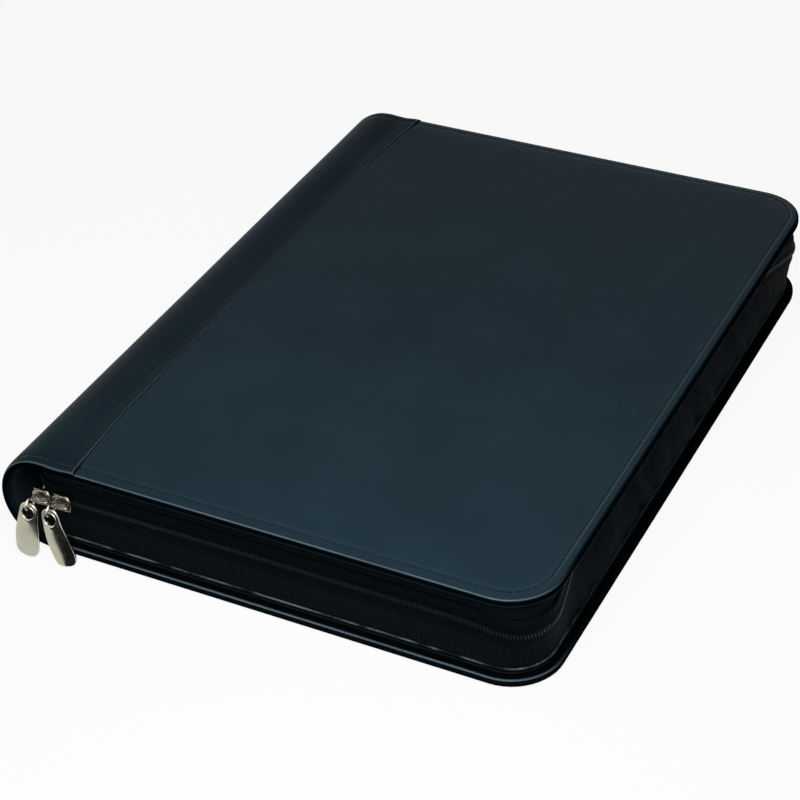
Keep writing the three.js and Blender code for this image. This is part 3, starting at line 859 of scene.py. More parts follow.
def make_slider(number, material):
    """A cast slider: bevelled plate, flanges that hold the coil, a strap bridge and an inner plate."""
    low, high = span(f"slider_{number}")
    bridge = joint_place(f"link_{number}_swing")
    x = (low.x + high.x) / 2
    half_length = (high.x - low.x) / 2
    half_width = (high.z - low.z) / 2
    plate_y = bridge.y + BRIDGE_STANDS_OFF
    shell = Shell()

    def add_plate(kind, y, cup=0.0):
        long, wide, levels, roll = kind
        outline = slider_outline(half_length * long, half_width * wide)
        shell.add(*rounded_plate(outline, levels, roll, (x, y, ZIP_Z), -1, cup))

    add_plate(SLIDER_FACE, plate_y, FACE_CUP)
    add_plate(SLIDER_RAISED, plate_y)
    long, outer, inner = FLANGE_SHARES
    for side in (-half_width, half_width):
        flange = oblong(half_length * long, side * outer, side * inner)
        place = (x, plate_y + FLANGE_BEHIND, ZIP_Z)
        shell.add(*rounded_plate(flange, (0.0, FLANGE_DEEP), FLANGE_ROLL, place))
    add_plate(SLIDER_INNER, high.y)
    neck = oblong(NECK_HALF_LENGTH, -NECK_HALF_WIDTH, NECK_HALF_WIDTH)
    neck_deep = high.y - plate_y - NECK_SHORT_OF
    shell.add(*rounded_plate(neck, (0.0, neck_deep), NECK_ROLL, (x, plate_y + NECK_BEHIND, ZIP_Z)))
    strap = []
    for step in range(STRAP_STEPS + 1):
        angle = math.pi * step / STRAP_STEPS
        out = (bridge.y - plate_y) * math.sin(angle) ** STRAP_SQUARENESS
        strap.append((x - half_length * STRAP_SHARE * math.cos(angle), plate_y - 0.1 + out, ZIP_Z))
    shell.add(*tube(strap, STRAP_RADIUS, sides=14, flatten=1.4))
    dress(shell.piece(f"zip_slider_{number}", [material]), f"slider_{number}", "nickel", f"slider_{number}")


LINK_STEPS = 44


def make_link(number, material):
    """An oval ring of wire through the bridge and the pull."""
    low, high = span(f"slider_link_{number}")
    wire = (high.x - low.x) / 2
    middle = (low + high) / 2
    half_out = (high.y - low.y) / 2 - wire
    half_up = (high.z - low.z) / 2 - wire
    path = [(middle.x, middle.y + half_out * cosine, middle.z + half_up * sine)
            for cosine, sine in circle(LINK_STEPS)]
    ring = make_piece(f"link_ring_{number}", *tube(path, wire, 14, closed=True, up=(1, 0, 0)), [material])
    dress(ring, f"link_{number}", "nickel", f"slider_link_{number}")


# A pull hangs at 0 from its link, and its lengths are along it and across it
PULL_LENGTH = 30.0
PULL_WIDE = 12.4
PULL_NARROW = 9.6
PULL_THICK = 1.3
PULL_HOLE = 3.2
PULL_TOP = 3.4
PULL_RIM = 1.8
PULL_RIM_RISE = 0.32
PULL_LEAN = {1: -10.0, 2: 14.0}
PULL_TILT = 5.0
PULL_CURL = 1.1
PULL_SIDES = 96
PULL_CURVE_STEPS = 24
# The rolled edge, as inset and depth under a face, and the rows from the edge to the hole, as shares
PULL_ROLL = [(0.55, 0.0), (0.2, 0.12), (0.0, 0.4)]
PULL_SHARES = [0.06, 0.14, 0.3, 0.5, 0.68, 0.8, 0.88, 0.94, 1.0]
PULL_RIM_FROM = 0.86
PULL_RIM_FADE = 0.06
PULL_BORE_STEP = 0.05
# Rows of faces that are polished: the edge, and the hole with its rim
PULL_EDGE_ROWS = range(0, 5)
PULL_HOLE_ROWS = range(13, 19)


def pull_outline():
    """The leaf shape of a pull, as (across, along)."""
    bottom = PULL_TOP - PULL_LENGTH
    half_top, half_wide = PULL_NARROW / 2, PULL_WIDE / 2
    curves = [
        ((0, PULL_TOP), (half_top * 0.72, PULL_TOP), (half_top, PULL_TOP - 2.2), (half_top, PULL_TOP - 5.4)),
        ((half_top, PULL_TOP - 5.4), (half_top + 0.3, PULL_TOP - 9.7), (half_wide, PULL_TOP - 14),
         (half_wide, bottom + 8)),
        ((half_wide, bottom + 8), (half_wide, bottom + 1.5), (half_wide * 0.88, bottom), (0, bottom)),
    ]
    line = []
    for a, b, c, d in np.array(curves, float):
        for t in np.arange(PULL_CURVE_STEPS) / PULL_CURVE_STEPS:
            s = 1 - t
            line.append(tuple(s ** 3 * a + 3 * s ** 2 * t * b + 3 * s * t ** 2 * c + t ** 3 * d))
    line.append((0, bottom))
    line += [(-a, b) for a, b in reversed(line[1:-1])]
    closed = np.array(line + line[:1], float)
    runs = np.concatenate([[0], np.cumsum(np.linalg.norm(np.diff(closed, axis=0), axis=1))])
    wanted = np.arange(PULL_SIDES) * runs[-1] / PULL_SIDES
    return np.stack([np.interp(wanted, runs, closed[:, axis]) for axis in (0, 1)], axis=1)


def pull_rows():
    """A flat pull with a rimmed hole, as rows of (across, along, level) round it."""
    edge = pull_outline()
    centre = np.array((0, PULL_TOP - PULL_RIM - PULL_HOLE))
    start = np.arctan2(edge[:, 1] - centre[1], edge[:, 0] - centre[0])
    hole = centre + PULL_HOLE * np.stack([np.cos(start), np.sin(start)], axis=1)
    bore = hole + (centre - hole) * PULL_BORE_STEP
    inward = centre - edge
    inward /= np.linalg.norm(inward, axis=1)[:, None]
    half = PULL_THICK / 2
    face = edge + inward * PULL_ROLL[0][0]
    rims = [(share, half + PULL_RIM_RISE * smooth_step((share - PULL_RIM_FROM) / PULL_RIM_FADE))
            for share in PULL_SHARES]
    rows = [(edge + inward * inset, depth - half) for inset, depth in PULL_ROLL]
    rows += [(edge + inward * inset, half - depth) for inset, depth in reversed(PULL_ROLL)]
    rows += [(face * (1 - share) + hole * share, level) for share, level in rims]
    rows += [(bore, half + 0.1), (bore, -half - 0.1)]
    rows += [(face * (1 - share) + hole * share, -level) for share, level in reversed(rims)]
    return [[(a, b, level) for a, b in line] for line, level in rows]


def hung(number, across, along, level, bow):
    """Where a point of a flat pull is once it is bowed, leant and hung from its link."""
    lean = math.radians(PULL_LEAN[number])
    tilt = math.radians(PULL_TILT)
    hang = joint_place(f"pull_{number}_swing")
    free = smooth_step((1.0 - along) / 8)
    curl = PULL_CURL * smooth_step((-8 - along) / 16) ** 2
    out = level + 0.9 * bow * (1 - (2 * across / PULL_WIDE) ** 2) * free - curl
    x = across * math.cos(lean) - along * math.sin(lean)
    down = across * math.sin(lean) + along * math.cos(lean)
    return (hang.x + x, hang.y - out * math.cos(tilt) + down * math.sin(tilt),
            hang.z + down * math.cos(tilt) + out * math.sin(tilt))


def make_pull(number, satin, polished, bow):
    """A bowed leaf of metal with a rimmed hole, hung from its link."""
    rows = pull_rows()
    points = [hung(number, *point, bow) for row in rows for point in row]
    faces = lattice(len(rows), PULL_SIDES, close_rows=True, close_columns=True)
    slots = []
    for row in range(len(rows)):
        slots += [int(row in PULL_EDGE_ROWS or row in PULL_HOLE_ROWS)] * PULL_SIDES
    piece = make_piece(f"zip_pull_{number}", points, faces, [satin, polished], face_slots=slots)
    dress(piece, f"pull_{number}", "satin_nickel", f"slider_pull_{number}")


# Materials


def add_node(tree, kind, inputs=(), **settings):
    """Adds a node with its settings. Inputs are given by name or number, or as a row in order. Each is
    a value, an output to link, or a node whose first output is linked."""
    node = tree.nodes.new(kind)
    for name, value in settings.items():
        setattr(node, name, value)
    for name, value in (inputs.items() if isinstance(inputs, dict) else enumerate(inputs)):
        if isinstance(value, bpy.types.Node):
            value = value.outputs[0]
        if isinstance(value, bpy.types.NodeSocket):
            tree.links.new(value, node.inputs[name])
        else:
            node.inputs[name].default_value = value
    return node


def new_material(name):
    """An empty material, and the node tree to build it in."""
    material = bpy.data.materials.new(name)
    material.use_nodes = True
    material.node_tree.nodes.clear()
    return material, material.node_tree


def shaded(colour, share, added=(0, 0, 0)):
    """A colour made lighter or darker."""
    return [min(channel * share + more, 1) for channel, more in zip(colour[:3], added)] + [1.0]


def wave_scale(pitch):
    """The scale of a wave texture whose bands stand this many millimetres apart."""
    return METRE / pitch / 20 * math.pi


# Painted highlight added to the dyed colour on the crests, in red, green and blue
CREST_HIGHLIGHT_ADDED = (0.076, 0.092, 0.09)


def leather_material(name, base, grain, rough, shine_level):
    """Cowhide nappa, drum-dyed and lightly finished: a satin, fine-pebbled face, polished crests with a
    painted highlight, and sides painted black as shade."""
    material, tree = new_material(name)
    place = add_node(tree, "ShaderNodeTexCoord").outputs["Object"]
    cells = METRE / grain
    pebble = add_node(tree, "ShaderNodeTexVoronoi", {
        "Vector": place, "Scale": cells, "Smoothness": 0.6, "Randomness": 1.0}, feature="SMOOTH_F1")
    pores = add_node(tree, "ShaderNodeTexNoise", {"Vector": place, "Scale": cells * 2.6, "Detail": 3.0})
    creases = add_node(tree, "ShaderNodeTexNoise", {
        "Vector": place, "Scale": cells * 0.16, "Detail": 5.0, "Roughness": 0.62, "Distortion": 0.6})
    clouds = add_node(tree, "ShaderNodeTexNoise", {"Vector": place, "Scale": 24.0, "Detail": 3.0})
    polish_and_painted_light = add_node(tree, "ShaderNodeAttribute", attribute_name="polish_and_painted_light").outputs["Fac"]
    cloudy = add_node(tree, "ShaderNodeMapRange", (clouds, 0.35, 0.65, 0.0, 1.0))
    dyed = add_node(tree, "ShaderNodeMix", {
        0: cloudy, 6: shaded(base, 0.93), 7: shaded(base, 1.1, [0.0004] * 3)}, data_type="RGBA")
    # Painted shade: below 0 the colour darkens towards black
    shade_share = add_node(tree, "ShaderNodeMapRange", (polish_and_painted_light, -1, 0, 1, 0))
    with_shade = add_node(tree, "ShaderNodeMix", {
        0: shade_share, 6: dyed.outputs[2], 7: linear("#030507")}, data_type="RGBA")
    # Painted highlight: above 0 the colour lightens on the crests
    highlight_share = add_node(tree, "ShaderNodeMapRange", (polish_and_painted_light, 0, 1, 0, 1))
    colour = add_node(tree, "ShaderNodeMix", {
        0: highlight_share, 6: with_shade.outputs[2], 7: shaded(base, 1.5, CREST_HIGHLIGHT_ADDED)}, data_type="RGBA")
    polished = add_node(tree, "ShaderNodeMapRange", (polish_and_painted_light, 0, 1, shine_level, 0.3))
    # Sides with painted shade also lose their shine
    unshaded = add_node(tree, "ShaderNodeMapRange", (polish_and_painted_light, -0.5, 0, 0, 1))
    shine = add_node(tree, "ShaderNodeMath", (polished, unshaded), operation="MULTIPLY")
    uneven = add_node(tree, "ShaderNodeMapRange", (creases, 0.3, 0.7, rough - 0.04, rough + 0.04))
    smoothed = add_node(tree, "ShaderNodeMapRange", (polish_and_painted_light, 0, 1, 0.0, -0.12))
    roughness = add_node(tree, "ShaderNodeMath", (uneven, smoothed), operation="ADD")
    soft = add_node(tree, "ShaderNodeBump", {"Height": creases, "Strength": 0.22, "Distance": 0.0004})
    pebbled = add_node(tree, "ShaderNodeBump", {
        "Height": pebble, "Strength": 0.26, "Distance": 0.0003, "Normal": soft})
    fine = add_node(tree, "ShaderNodeBump", {
        "Height": pores, "Strength": 0.14, "Distance": 0.0001, "Normal": pebbled})
    shader = add_node(tree, "ShaderNodeBsdfPrincipled", {
        "Base Color": colour.outputs[2], "Roughness": roughness, "Normal": fine, "IOR": 1.45,
        "Specular IOR Level": shine})
    add_node(tree, "ShaderNodeOutputMaterial", {"Surface": shader})
    return material


def woven_material(name, dark, light, yarn, rough, strength=0.5):
    """Woven nylon or polyester, plain weave: matt yarns over and under, each with a soft sheen.
    The yarn is drawn coarser than the real 0.3 mm so that it shows."""
    material, tree = new_material(name)
    place = add_node(tree, "ShaderNodeTexCoord").outputs["UV"]
    bands = {
        "Vector": place, "Scale": wave_scale(yarn), "Distortion": 0.35, "Detail": 1.0, "Detail Scale": 2.0}
    warp, weft = (add_node(tree, "ShaderNodeTexWave", bands, wave_type="BANDS", bands_direction=axis,
                           wave_profile="SIN").outputs["Fac"] for axis in ("X", "Y"))
    checks = add_node(tree, "ShaderNodeTexChecker", {"Vector": place, "Scale": METRE / yarn})
    height = add_node(tree, "ShaderNodeMix", {
        0: checks.outputs["Fac"], 2: warp, 3: weft}, data_type="FLOAT")
    slubs = add_node(tree, "ShaderNodeTexNoise", {
        "Vector": place, "Scale": METRE / yarn * 0.3, "Detail": 4.0})
    slubby = add_node(tree, "ShaderNodeMapRange", (slubs, 0.2, 0.8, 0.55, 1.0))
    depth = add_node(tree, "ShaderNodeMath", (height, slubby), operation="MULTIPLY")
    colour = add_node(tree, "ShaderNodeMix", {0: depth, 6: linear(dark), 7: linear(light)}, data_type="RGBA")
    raised = add_node(tree, "ShaderNodeBump", {"Height": depth, "Strength": strength, "Distance": 0.0003})
    shader = add_node(tree, "ShaderNodeBsdfPrincipled", {
        "Base Color": colour.outputs[2], "Roughness": rough, "Normal": raised, "IOR": 1.53,
        "Specular IOR Level": 0.03})
    add_node(tree, "ShaderNodeOutputMaterial", {"Surface": shader})
    return material


# The welt's painted highlight is strongest up to the first distance from the near edge, and weakest from the
# second on
WELT_HIGHLIGHT_FULL = 20.0
WELT_HIGHLIGHT_FADED = 60.0


def folded_welt(name):
    """A folded edge of black nylon, with a painted highlight in pale patches along its crest."""
    material, tree = new_material(name)
    place = add_node(tree, "ShaderNodeTexCoord").outputs["Object"]
    along = add_node(tree, "ShaderNodeSeparateXYZ", (place,)).outputs["Y"]
    near_side = add_node(tree, "ShaderNodeMapRange", (
        along, (WELT_HIGHLIGHT_FULL - HALF) / METRE, (WELT_HIGHLIGHT_FADED - HALF) / METRE, 1.0, 0.15))
    clouds = add_node(tree, "ShaderNodeTexNoise", {"Vector": place, "Scale": 90.0, "Detail": 5.0})
    patches = add_node(tree, "ShaderNodeMapRange", (clouds, 0.42, 0.6, 0, 1))
    # Painted highlight: pale patches, strongest on the near side
    highlight_patches = add_node(tree, "ShaderNodeMath", (patches, near_side), operation="MULTIPLY")
    colour = add_node(tree, "ShaderNodeMix", {
        0: highlight_patches, 6: linear("#0b1013"), 7: linear("#4f575b")}, data_type="RGBA")
    threads = add_node(tree, "ShaderNodeTexNoise", {"Vector": place, "Scale": 1500.0, "Detail": 2.0})
    raised = add_node(tree, "ShaderNodeBump", {"Height": threads, "Strength": 0.5, "Distance": 0.0002})
    shader = add_node(tree, "ShaderNodeBsdfPrincipled", {
        "Base Color": colour.outputs[2], "Roughness": 0.7, "Normal": raised, "IOR": 1.53,
        "Specular IOR Level": 0.05})
    add_node(tree, "ShaderNodeOutputMaterial", {"Surface": shader})
    return material


def moulded_nylon(name, colour, rough):
    """Nylon monofilament, extruded: smooth, slightly waxy, with faint drawing marks."""
    material, tree = new_material(name)
    place = add_node(tree, "ShaderNodeTexCoord").outputs["Object"]
    marks = add_node(tree, "ShaderNodeTexNoise", {"Vector": place, "Scale": 900.0, "Detail": 3.0})
    tone = add_node(tree, "ShaderNodeMix", {0: marks, 6: colour, 7: shaded(colour, 1.5)}, data_type="RGBA")
    raised = add_node(tree, "ShaderNodeBump", {"Height": marks, "Strength": 0.12, "Distance": 0.0001})
    shader = add_node(tree, "ShaderNodeBsdfPrincipled", {
        "Base Color": tone.outputs[2], "Roughness": rough, "Normal": raised, "IOR": 1.53,
        "Specular IOR Level": 0.19})
    add_node(tree, "ShaderNodeOutputMaterial", {"Surface": shader})
    return material


THREAD_PLY = 0.35


def thread_material(name, colour):
    """Bonded polyester thread, twisted from three plies: fine slanting ridges and a slight shine."""
    material, tree = new_material(name)
    place = add_node(tree, "ShaderNodeTexCoord").outputs["Object"]
    twist = add_node(tree, "ShaderNodeTexWave", {
        "Vector": place, "Scale": wave_scale(THREAD_PLY), "Distortion": 0.4},
        wave_type="BANDS", bands_direction="DIAGONAL").outputs["Fac"]
    tone = add_node(tree, "ShaderNodeMix", {0: twist, 6: colour, 7: shaded(colour, 1.9)}, data_type="RGBA")
    raised = add_node(tree, "ShaderNodeBump", {"Height": twist, "Strength": 0.4, "Distance": 0.0001})
    shader = add_node(tree, "ShaderNodeBsdfPrincipled", {
        "Base Color": tone.outputs[2], "Roughness": 0.5, "Normal": raised, "IOR": 1.55,
        "Specular IOR Level": 0.06})
    add_node(tree, "ShaderNodeOutputMaterial", {"Surface": shader})
    return material


def plated_material(name, colour, rough, scratch, stretch=(1, 1, 1)):
    """Nickel plate over die-cast zinc or steel: a warm mirror, softened by fine rubbing marks."""
    material, tree = new_material(name)
    place = add_node(tree, "ShaderNodeTexCoord").outputs["Object"]
    drawn = add_node(tree, "ShaderNodeMapping", {"Vector": place, "Scale": stretch})
    marks = add_node(tree, "ShaderNodeTexNoise", {
        "Vector": drawn, "Scale": 1400.0, "Detail": 4.0, "Roughness": 0.7})
    clouds = add_node(tree, "ShaderNodeTexNoise", {"Vector": place, "Scale": 110.0, "Detail": 2.0})
    smudges = add_node(tree, "ShaderNodeMapRange", (clouds, 0.35, 0.7, 0, 1))
    tone = add_node(tree, "ShaderNodeMix", {0: smudges, 6: colour, 7: shaded(colour, 0.86)}, data_type="RGBA")
    roughness = add_node(tree, "ShaderNodeMapRange", (marks, 0.3, 0.7, rough * 0.8, rough * 1.25))
    raised = add_node(tree, "ShaderNodeBump", {"Height": marks, "Strength": scratch, "Distance": 0.00004})
    shader = add_node(tree, "ShaderNodeBsdfPrincipled", {
        "Base Color": tone.outputs[2], "Metallic": 1.0, "Roughness": roughness, "Normal": raised})
    add_node(tree, "ShaderNodeOutputMaterial", {"Surface": shader})
    return material


def board_material(name):
    """Black millboard, rolled from dyed pulp: matt, fibrous and flecked."""
    material, tree = new_material(name)
    place = add_node(tree, "ShaderNodeTexCoord").outputs["Object"]
    fibres = add_node(tree, "ShaderNodeTexNoise", {"Vector": place, "Scale": 700.0, "Detail": 6.0})
    tone = add_node(tree, "ShaderNodeMix", {
        0: fibres, 6: linear("#101214"), 7: linear("#1f2225")}, data_type="RGBA")
    raised = add_node(tree, "ShaderNodeBump", {"Height": fibres, "Strength": 0.3, "Distance": 0.0002})
    shader = add_node(tree, "ShaderNodeBsdfPrincipled", {
        "Base Color": tone.outputs[2], "Roughness": 0.92, "Normal": raised})
    add_node(tree, "ShaderNodeOutputMaterial", {"Surface": shader})
    return material


MATERIALS = {}


def materials():
    """The binder's materials, made once."""
    if MATERIALS:
        return MATERIALS
    settings = bpy.context.scene.binder_leather
    base = list(settings.colour)
    grain = settings.grain
    yarn = bpy.context.scene.binder_zip.weave
    polish = bpy.context.scene.binder_metal.polish
    MATERIALS.update({
        "leather": leather_material("Nappa_cowhide_dyed_satin", base, grain, 0.47, 0.032),
        # The spine's leather is a darker copy of the same hide: painted shade
        "spine leather painted shade": leather_material("Nappa_cowhide_painted_shade", shaded(base, 0.66), grain, 0.45, 0.02),
        "thread": thread_material("Bonded_polyester_thread_twisted", linear("#091015")),
        "tape thread": thread_material("Spun_polyester_thread_fine", linear("#030507")),
        "gusset": woven_material("Nylon_plain_woven", "#020406", "#121a20", yarn, 0.78, strength=0.8),
        "welt": folded_welt("Nylon_welt_folded_painted_highlight"),
        "tape": woven_material("Polyester_tape_woven", "#010304", "#080d11", yarn * 0.7, 0.75),
        "lining": woven_material("Polyester_lining_woven", "#0c0f12", "#20262b", yarn * 0.8, 0.6),
        "coil": moulded_nylon("Nylon_coil_extruded", linear("#0d1115"), 0.34),
        "nickel": plated_material("Nickel_plated_zinc_polished", linear("#cdc8bb"), 0.16, 0.1),
        # The sliders' nickel is a darker copy of the plate: painted shade
        "slider": plated_material("Nickel_plated_zinc_painted_shade", linear("#8f8b7f"), 0.2, 0.14),
        "satin": plated_material("Nickel_plated_zinc_satin", linear("#b9b8a4"), polish, 0.06, (6, 6, 1)),
        "steel": plated_material("Nickel_plated_steel_rolled", linear("#c9ccd0"), 0.18, 0.12, (1, 0.1, 1)),
        "board": board_material("Millboard_black_pressed"),
    })
    return MATERIALS


def finish_solids(nodes, material):
    """Gives a finish to solids that are shown as they are."""
    for node in nodes:
        slots = frame["nodes"][node].data.materials
        slots.clear()
        slots.append(material)


# Steps that build the binder


PANEL_UNDER_STRIP = 2.5
STITCH_FROM_SEAM = 1.5


def seam_start(edge_y):
    """Where the front panel starts: under the spine strip, which turns in at both ends."""
    return SEAM - PANEL_UNDER_STRIP + seam_lean(edge_y)


SKIN_LAP = 0.4


def spine_end(_edge_y):
    """Where the back cover's own skin starts, just under the end of the spine's leather."""
    end = curve_at(spine_controls(), stretch_places("cover_open")[1])[0]
    return float(end[0]) - SKIN_LAP


def build_covers():
    """Both covers' leather and stitching, and the finish of their boards."""
    kit = materials()
    leather = bpy.context.scene.binder_leather
    inset, pitch = leather.stitch_inset, leather.stitch_pitch
    panel = cover_skin("front_panel_leather", seam_start, PANEL_TOP, 1, leather.crown, kit["leather"])
    dress(panel, "front_cover", "leather", "front_panel")
    back = cover_skin("back_cover_leather", spine_end, 0.0, -1, 0.0, kit["leather"])
    dress(back, "back_cover", "leather", "back_leather")
    seams = [("front_cover_stitching", "front_cover", lambda edge_y: SEAM + STITCH_FROM_SEAM, PANEL_TOP, 1),
             ("back_cover_stitching", "back_cover", spine_end, 0.0, -1)]
    for name, body, start, face, side in seams:
        row = cover_stitches(name, start, face, side, inset, pitch, kit["thread"])
        dress(row, body, "leather")
    finish_solids(("front_board", "back_board"), kit["board"])


LINING_FACE = SPINE_SKIN + 0.02
LINING_BACK = 4.15
LINING_INSET = 3.2
LINING_STEPS = 30
# The lining's ends, in degrees round the oval
LINING_FROM, LINING_TO = 8, 172
SKIN_STEPS = 44
CLOTH_STEPS = 30
SEAM_STEPS = 60


def spine_lining_loop():
    """A thin sheet on the inside of the spine, as a loop of (y, depth, painted light)."""
    end = HALF - LINING_INSET
    line = [-end + 2 * end * k / LINING_STEPS for k in range(LINING_STEPS + 1)]
    return [(y, LINING_FACE, 0) for y in line] + [(y, LINING_BACK, 0) for y in reversed(line)]


# The half of the spine that each stretch stands for, and the panel's strip that goes with it
STANDS_FOR = {
    "spine_fold_top": ("upper", "spine_strip_edge"),
    "spine_fold_middle": (None, None),
    "cover_open": ("lower", None),
}


def build_spine():
    """The three stretches of the spine: leather, lining and a seam at each end."""
    kit = materials()
    leather = bpy.context.scene.binder_leather
    seam_y = HALF - leather.stitch_inset
    for joint, (half, also) in STANDS_FOR.items():
        first, last = stretch_places(joint)
        section = spine_section()
        skin = spine_band(f"{joint}_leather", first, last, SKIN_STEPS, section, kit["spine leather painted shade"])
        lining_first = spine_place(LINING_FROM) if joint == "spine_fold_top" else first
        lining_last = spine_place(LINING_TO) if joint == "cover_open" else last
        loop = spine_lining_loop()
        cloth = spine_band(f"{joint}_lining", lining_first, lining_last, CLOTH_STEPS, loop, kit["lining"])
        if half:
            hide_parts(f"spine_leather_{half}")
            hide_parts(f"spine_lining_{half}")
        if also:
            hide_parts(also)
        fold_blend(skin)
        fold_blend(cloth)
        for y, label in ((-seam_y, "near"), (seam_y, "far")):
            places = spine_stitch_places(first + 0.15, last, SEAM_STEPS, y)
            row = stitch_row(places, leather.stitch_pitch, kit["thread"], f"{joint}_stitching_{label}")
            fold_blend(row)


# The gusset's walls from the side, as (inset, z), and its piping
LOWER_WALL = [
    (4.3, 7.5), (4.1, 9.6), (4.2, 11), (4.0, 12.6), (3.8, 15), (3.6, 18), (3.5, 21), (3.4, 23.4), (3.5, 25),
]
UPPER_WALL = [(4.3, 33.4), (4.2, 35), (4.15, 37), (4.1, 38.4), (4.1, 40), (4.3, 42), (4.7, 43.6)]
WALL_EDGE = 5.4
CLOTH = 0.9
PIPING_AT = (3.85, 7.7)
PIPING_RADIUS = 0.45


def build_gusset():
    """Both nylon walls, and the piping low on the lower one."""
    kit = materials()
    fold = bpy.context.scene.binder_zip.fold
    low = span("lower_gusset")[0].z
    high = span("upper_gusset")[1].z
    lower = closed_sheet([(WALL_EDGE, low), (4.7, low + 0.8)] + LOWER_WALL, CLOTH)
    upper = closed_sheet(UPPER_WALL + [(WALL_EDGE, high)], CLOTH)
    inset, z = PIPING_AT
    piping = [(inset + PIPING_RADIUS * cosine, z + PIPING_RADIUS * sine) for cosine, sine in circle(10)]
    sheets = [
        ("lower_gusset_cloth", lower, "gusset", 1.0, 2.0, "back_cover", "lower_gusset"),
        ("upper_gusset_cloth", upper, "gusset", 0.6, 7.0, "front_cover", "upper_gusset"),
        ("gusset_piping_fold", piping, "welt", 0.25, 5.0, "back_cover", "gusset_piping"),
    ]
    for name, section, cloth, crumple, seed, body, node in sheets:
        piece = wall_sweep(name, WALL_START, section, fold, kit[cloth], crumple, seed)
        dress(piece, body, "gusset_nylon", node)


# A zip tape from the side, from the gusset to the teeth: inset, and distance from the zip's middle
TAPE_LINE = [
    (3.35, 7.4), (3.0, 7.2), (2.95, 6.2), (2.85, 4.6), (2.8, 3.4), (2.75, 2.3), (2.8, 1.1), (2.9, 0.14),
]
TAPE_THICK = 0.7
TAPE_SEAM = (2.86, 5.6)
TAPE_STITCH_PITCH = 2.8
TAPE_STITCH_LENGTH = 2.0
TAPE_STITCH_RADIUS = 0.16


def build_zip():
    """Both halves of the zip: tape, teeth and the tape's own stitching."""
    kit = materials()
    settings = bpy.context.scene.binder_zip
    fold = settings.fold
    for side, body, label in ((-1, "back_cover", "lower"), (1, "front_cover", "upper")):
        line = [(inset, ZIP_Z + side * away) for inset, away in TAPE_LINE]
        if side > 0:
            line.reverse()
        tape = wall_sweep(f"{label}_tape", WALL_START, closed_sheet(line, TAPE_THICK), fold, kit["tape"],
                          lift=zip_rise)
        dress(tape, body, "zip_tape", f"{label}_zip_tape")
        teeth = zip_teeth(f"{label}_coil", WALL_START, -side, settings.tooth_pitch, fold, kit["coil"])
        dress(teeth, body, "zip_coil", f"{label}_zip_coil")
        inset, away = TAPE_SEAM
        places = []
        for station in wall_stations(WALL_START + 2):
            x, y, z = wall_point(station, inset, ZIP_Z + side * away, fold)
            nx, ny = station[1]
            places.append(((x, y, z + zip_rise(station)), (-ny, nx, 0), (nx, ny, 0)))
        row = stitch_row(places, TAPE_STITCH_PITCH, kit["tape thread"], f"{label}_tape_stitching",
                         TAPE_STITCH_LENGTH, TAPE_STITCH_RADIUS)
        dress(row, body, "zip_tape")


def build_sliders():
    """Both sliders, each with its link and its pull."""
    kit = materials()
    bow = bpy.context.scene.binder_metal.bow
    for number in (1, 2):
        make_slider(number, kit["slider"])
        make_link(number, kit["nickel"])
        make_pull(number, kit["satin"], kit["nickel"], bow)


# A cover's lining over and round its edge: inset and depth
LINING_THICK = 0.7
LINING_INSETS = [168, 120, 60, 20]
LINING_EDGE = [(6, 0.02), (3.4, 0.1), (3.1, 0.35), (3.4, 0.62), (6, LINING_THICK)]


def build_linings():
    """The lining of each cover, folded round its edge."""
    kit = materials()
    rows = [(inset, 0.0) for inset in LINING_INSETS]
    rows += LINING_EDGE
    rows += [(inset, LINING_THICK) for inset in reversed(LINING_INSETS)]
    for name, body, node, side in (("front_lining_cloth", "front_cover", "front_lining", 1),
                                   ("back_lining_cloth", "back_cover", "back_lining", -1)):
        low, high = span(node)
        face = low.z if side > 0 else high.z
        points = []
        for inset, depth in rows:
            points += [(x, y, face + side * depth) for x, y in cover_ring(lambda edge_y: low.x + 0.5, inset)]
        faces = cover_faces(len(rows), len(points) // len(rows))
        piece = make_piece(name, points, faces, [kit["lining"]], uv=[point[:2] for point in points])
        dress(piece, body, "lining", node)


POCKET_STEPS = 24
POCKET_SINK = 0.25
POCKET_PUFF = 0.28
BINDING_STEPS = 12
BINDING_INSET = 1.2
BINDING_RADIUS = 1.3


def pocket_piece(name, node, kit):
    """A pocket: a panel with a bound mouth on its far side."""
    low, high = span(node)
    side = POCKET_STEPS + 1
    points = []
    for top in (True, False):
        for j in range(side):
            for k in range(side):
                across, along = k / POCKET_STEPS, j / POCKET_STEPS
                puff = POCKET_PUFF * (1 - abs(2 * across - 1) ** 3) * min(along * 1.6, 1)
                points.append((low.x + (high.x - low.x) * across, low.y + (high.y - low.y) * along,
                               low.z + POCKET_SINK - puff if top else high.z))
    size = side * side
    faces = lattice(side, side)
    faces += [tuple(size + corner for corner in face) for face in faces]
    rim = [k for k in range(side)]
    rim += [(j + 1) * side - 1 for j in range(1, side)]
    rim += [size - 1 - k for k in range(1, side)]
    rim += [j * side for j in range(side - 2, 0, -1)]
    faces += [(corner, after, size + after, size + corner) for corner, after in zip(rim, rim[1:] + rim[:1])]
    shell = Shell()
    shell.add(points, faces)
    mouth = [(low.x + (high.x - low.x) * k / BINDING_STEPS, high.y - BINDING_INSET, (low.z + high.z) / 2)
             for k in range(BINDING_STEPS + 1)]
    shell.add(*tube(mouth, BINDING_RADIUS, sides=10, flatten=0.55), slot=1)
    return shell.piece(name, [kit["lining"], kit["leather"]])


def build_pockets():
    """A document pocket and three card pockets on the front cover's lining."""
    kit = materials()
    for node in ("document_pocket", "card_pocket_1", "card_pocket_2", "card_pocket_3"):
        dress(pocket_piece(f"{node}_panel", node, kit), "front_cover", "lining", node)


# The foot of a half ring: distance from the middle, and height over its plate
RING_FOOT = [(6.95, 4.1), (6.25, 2.6), (6.0, 1.4), (6.0, 0.3)]


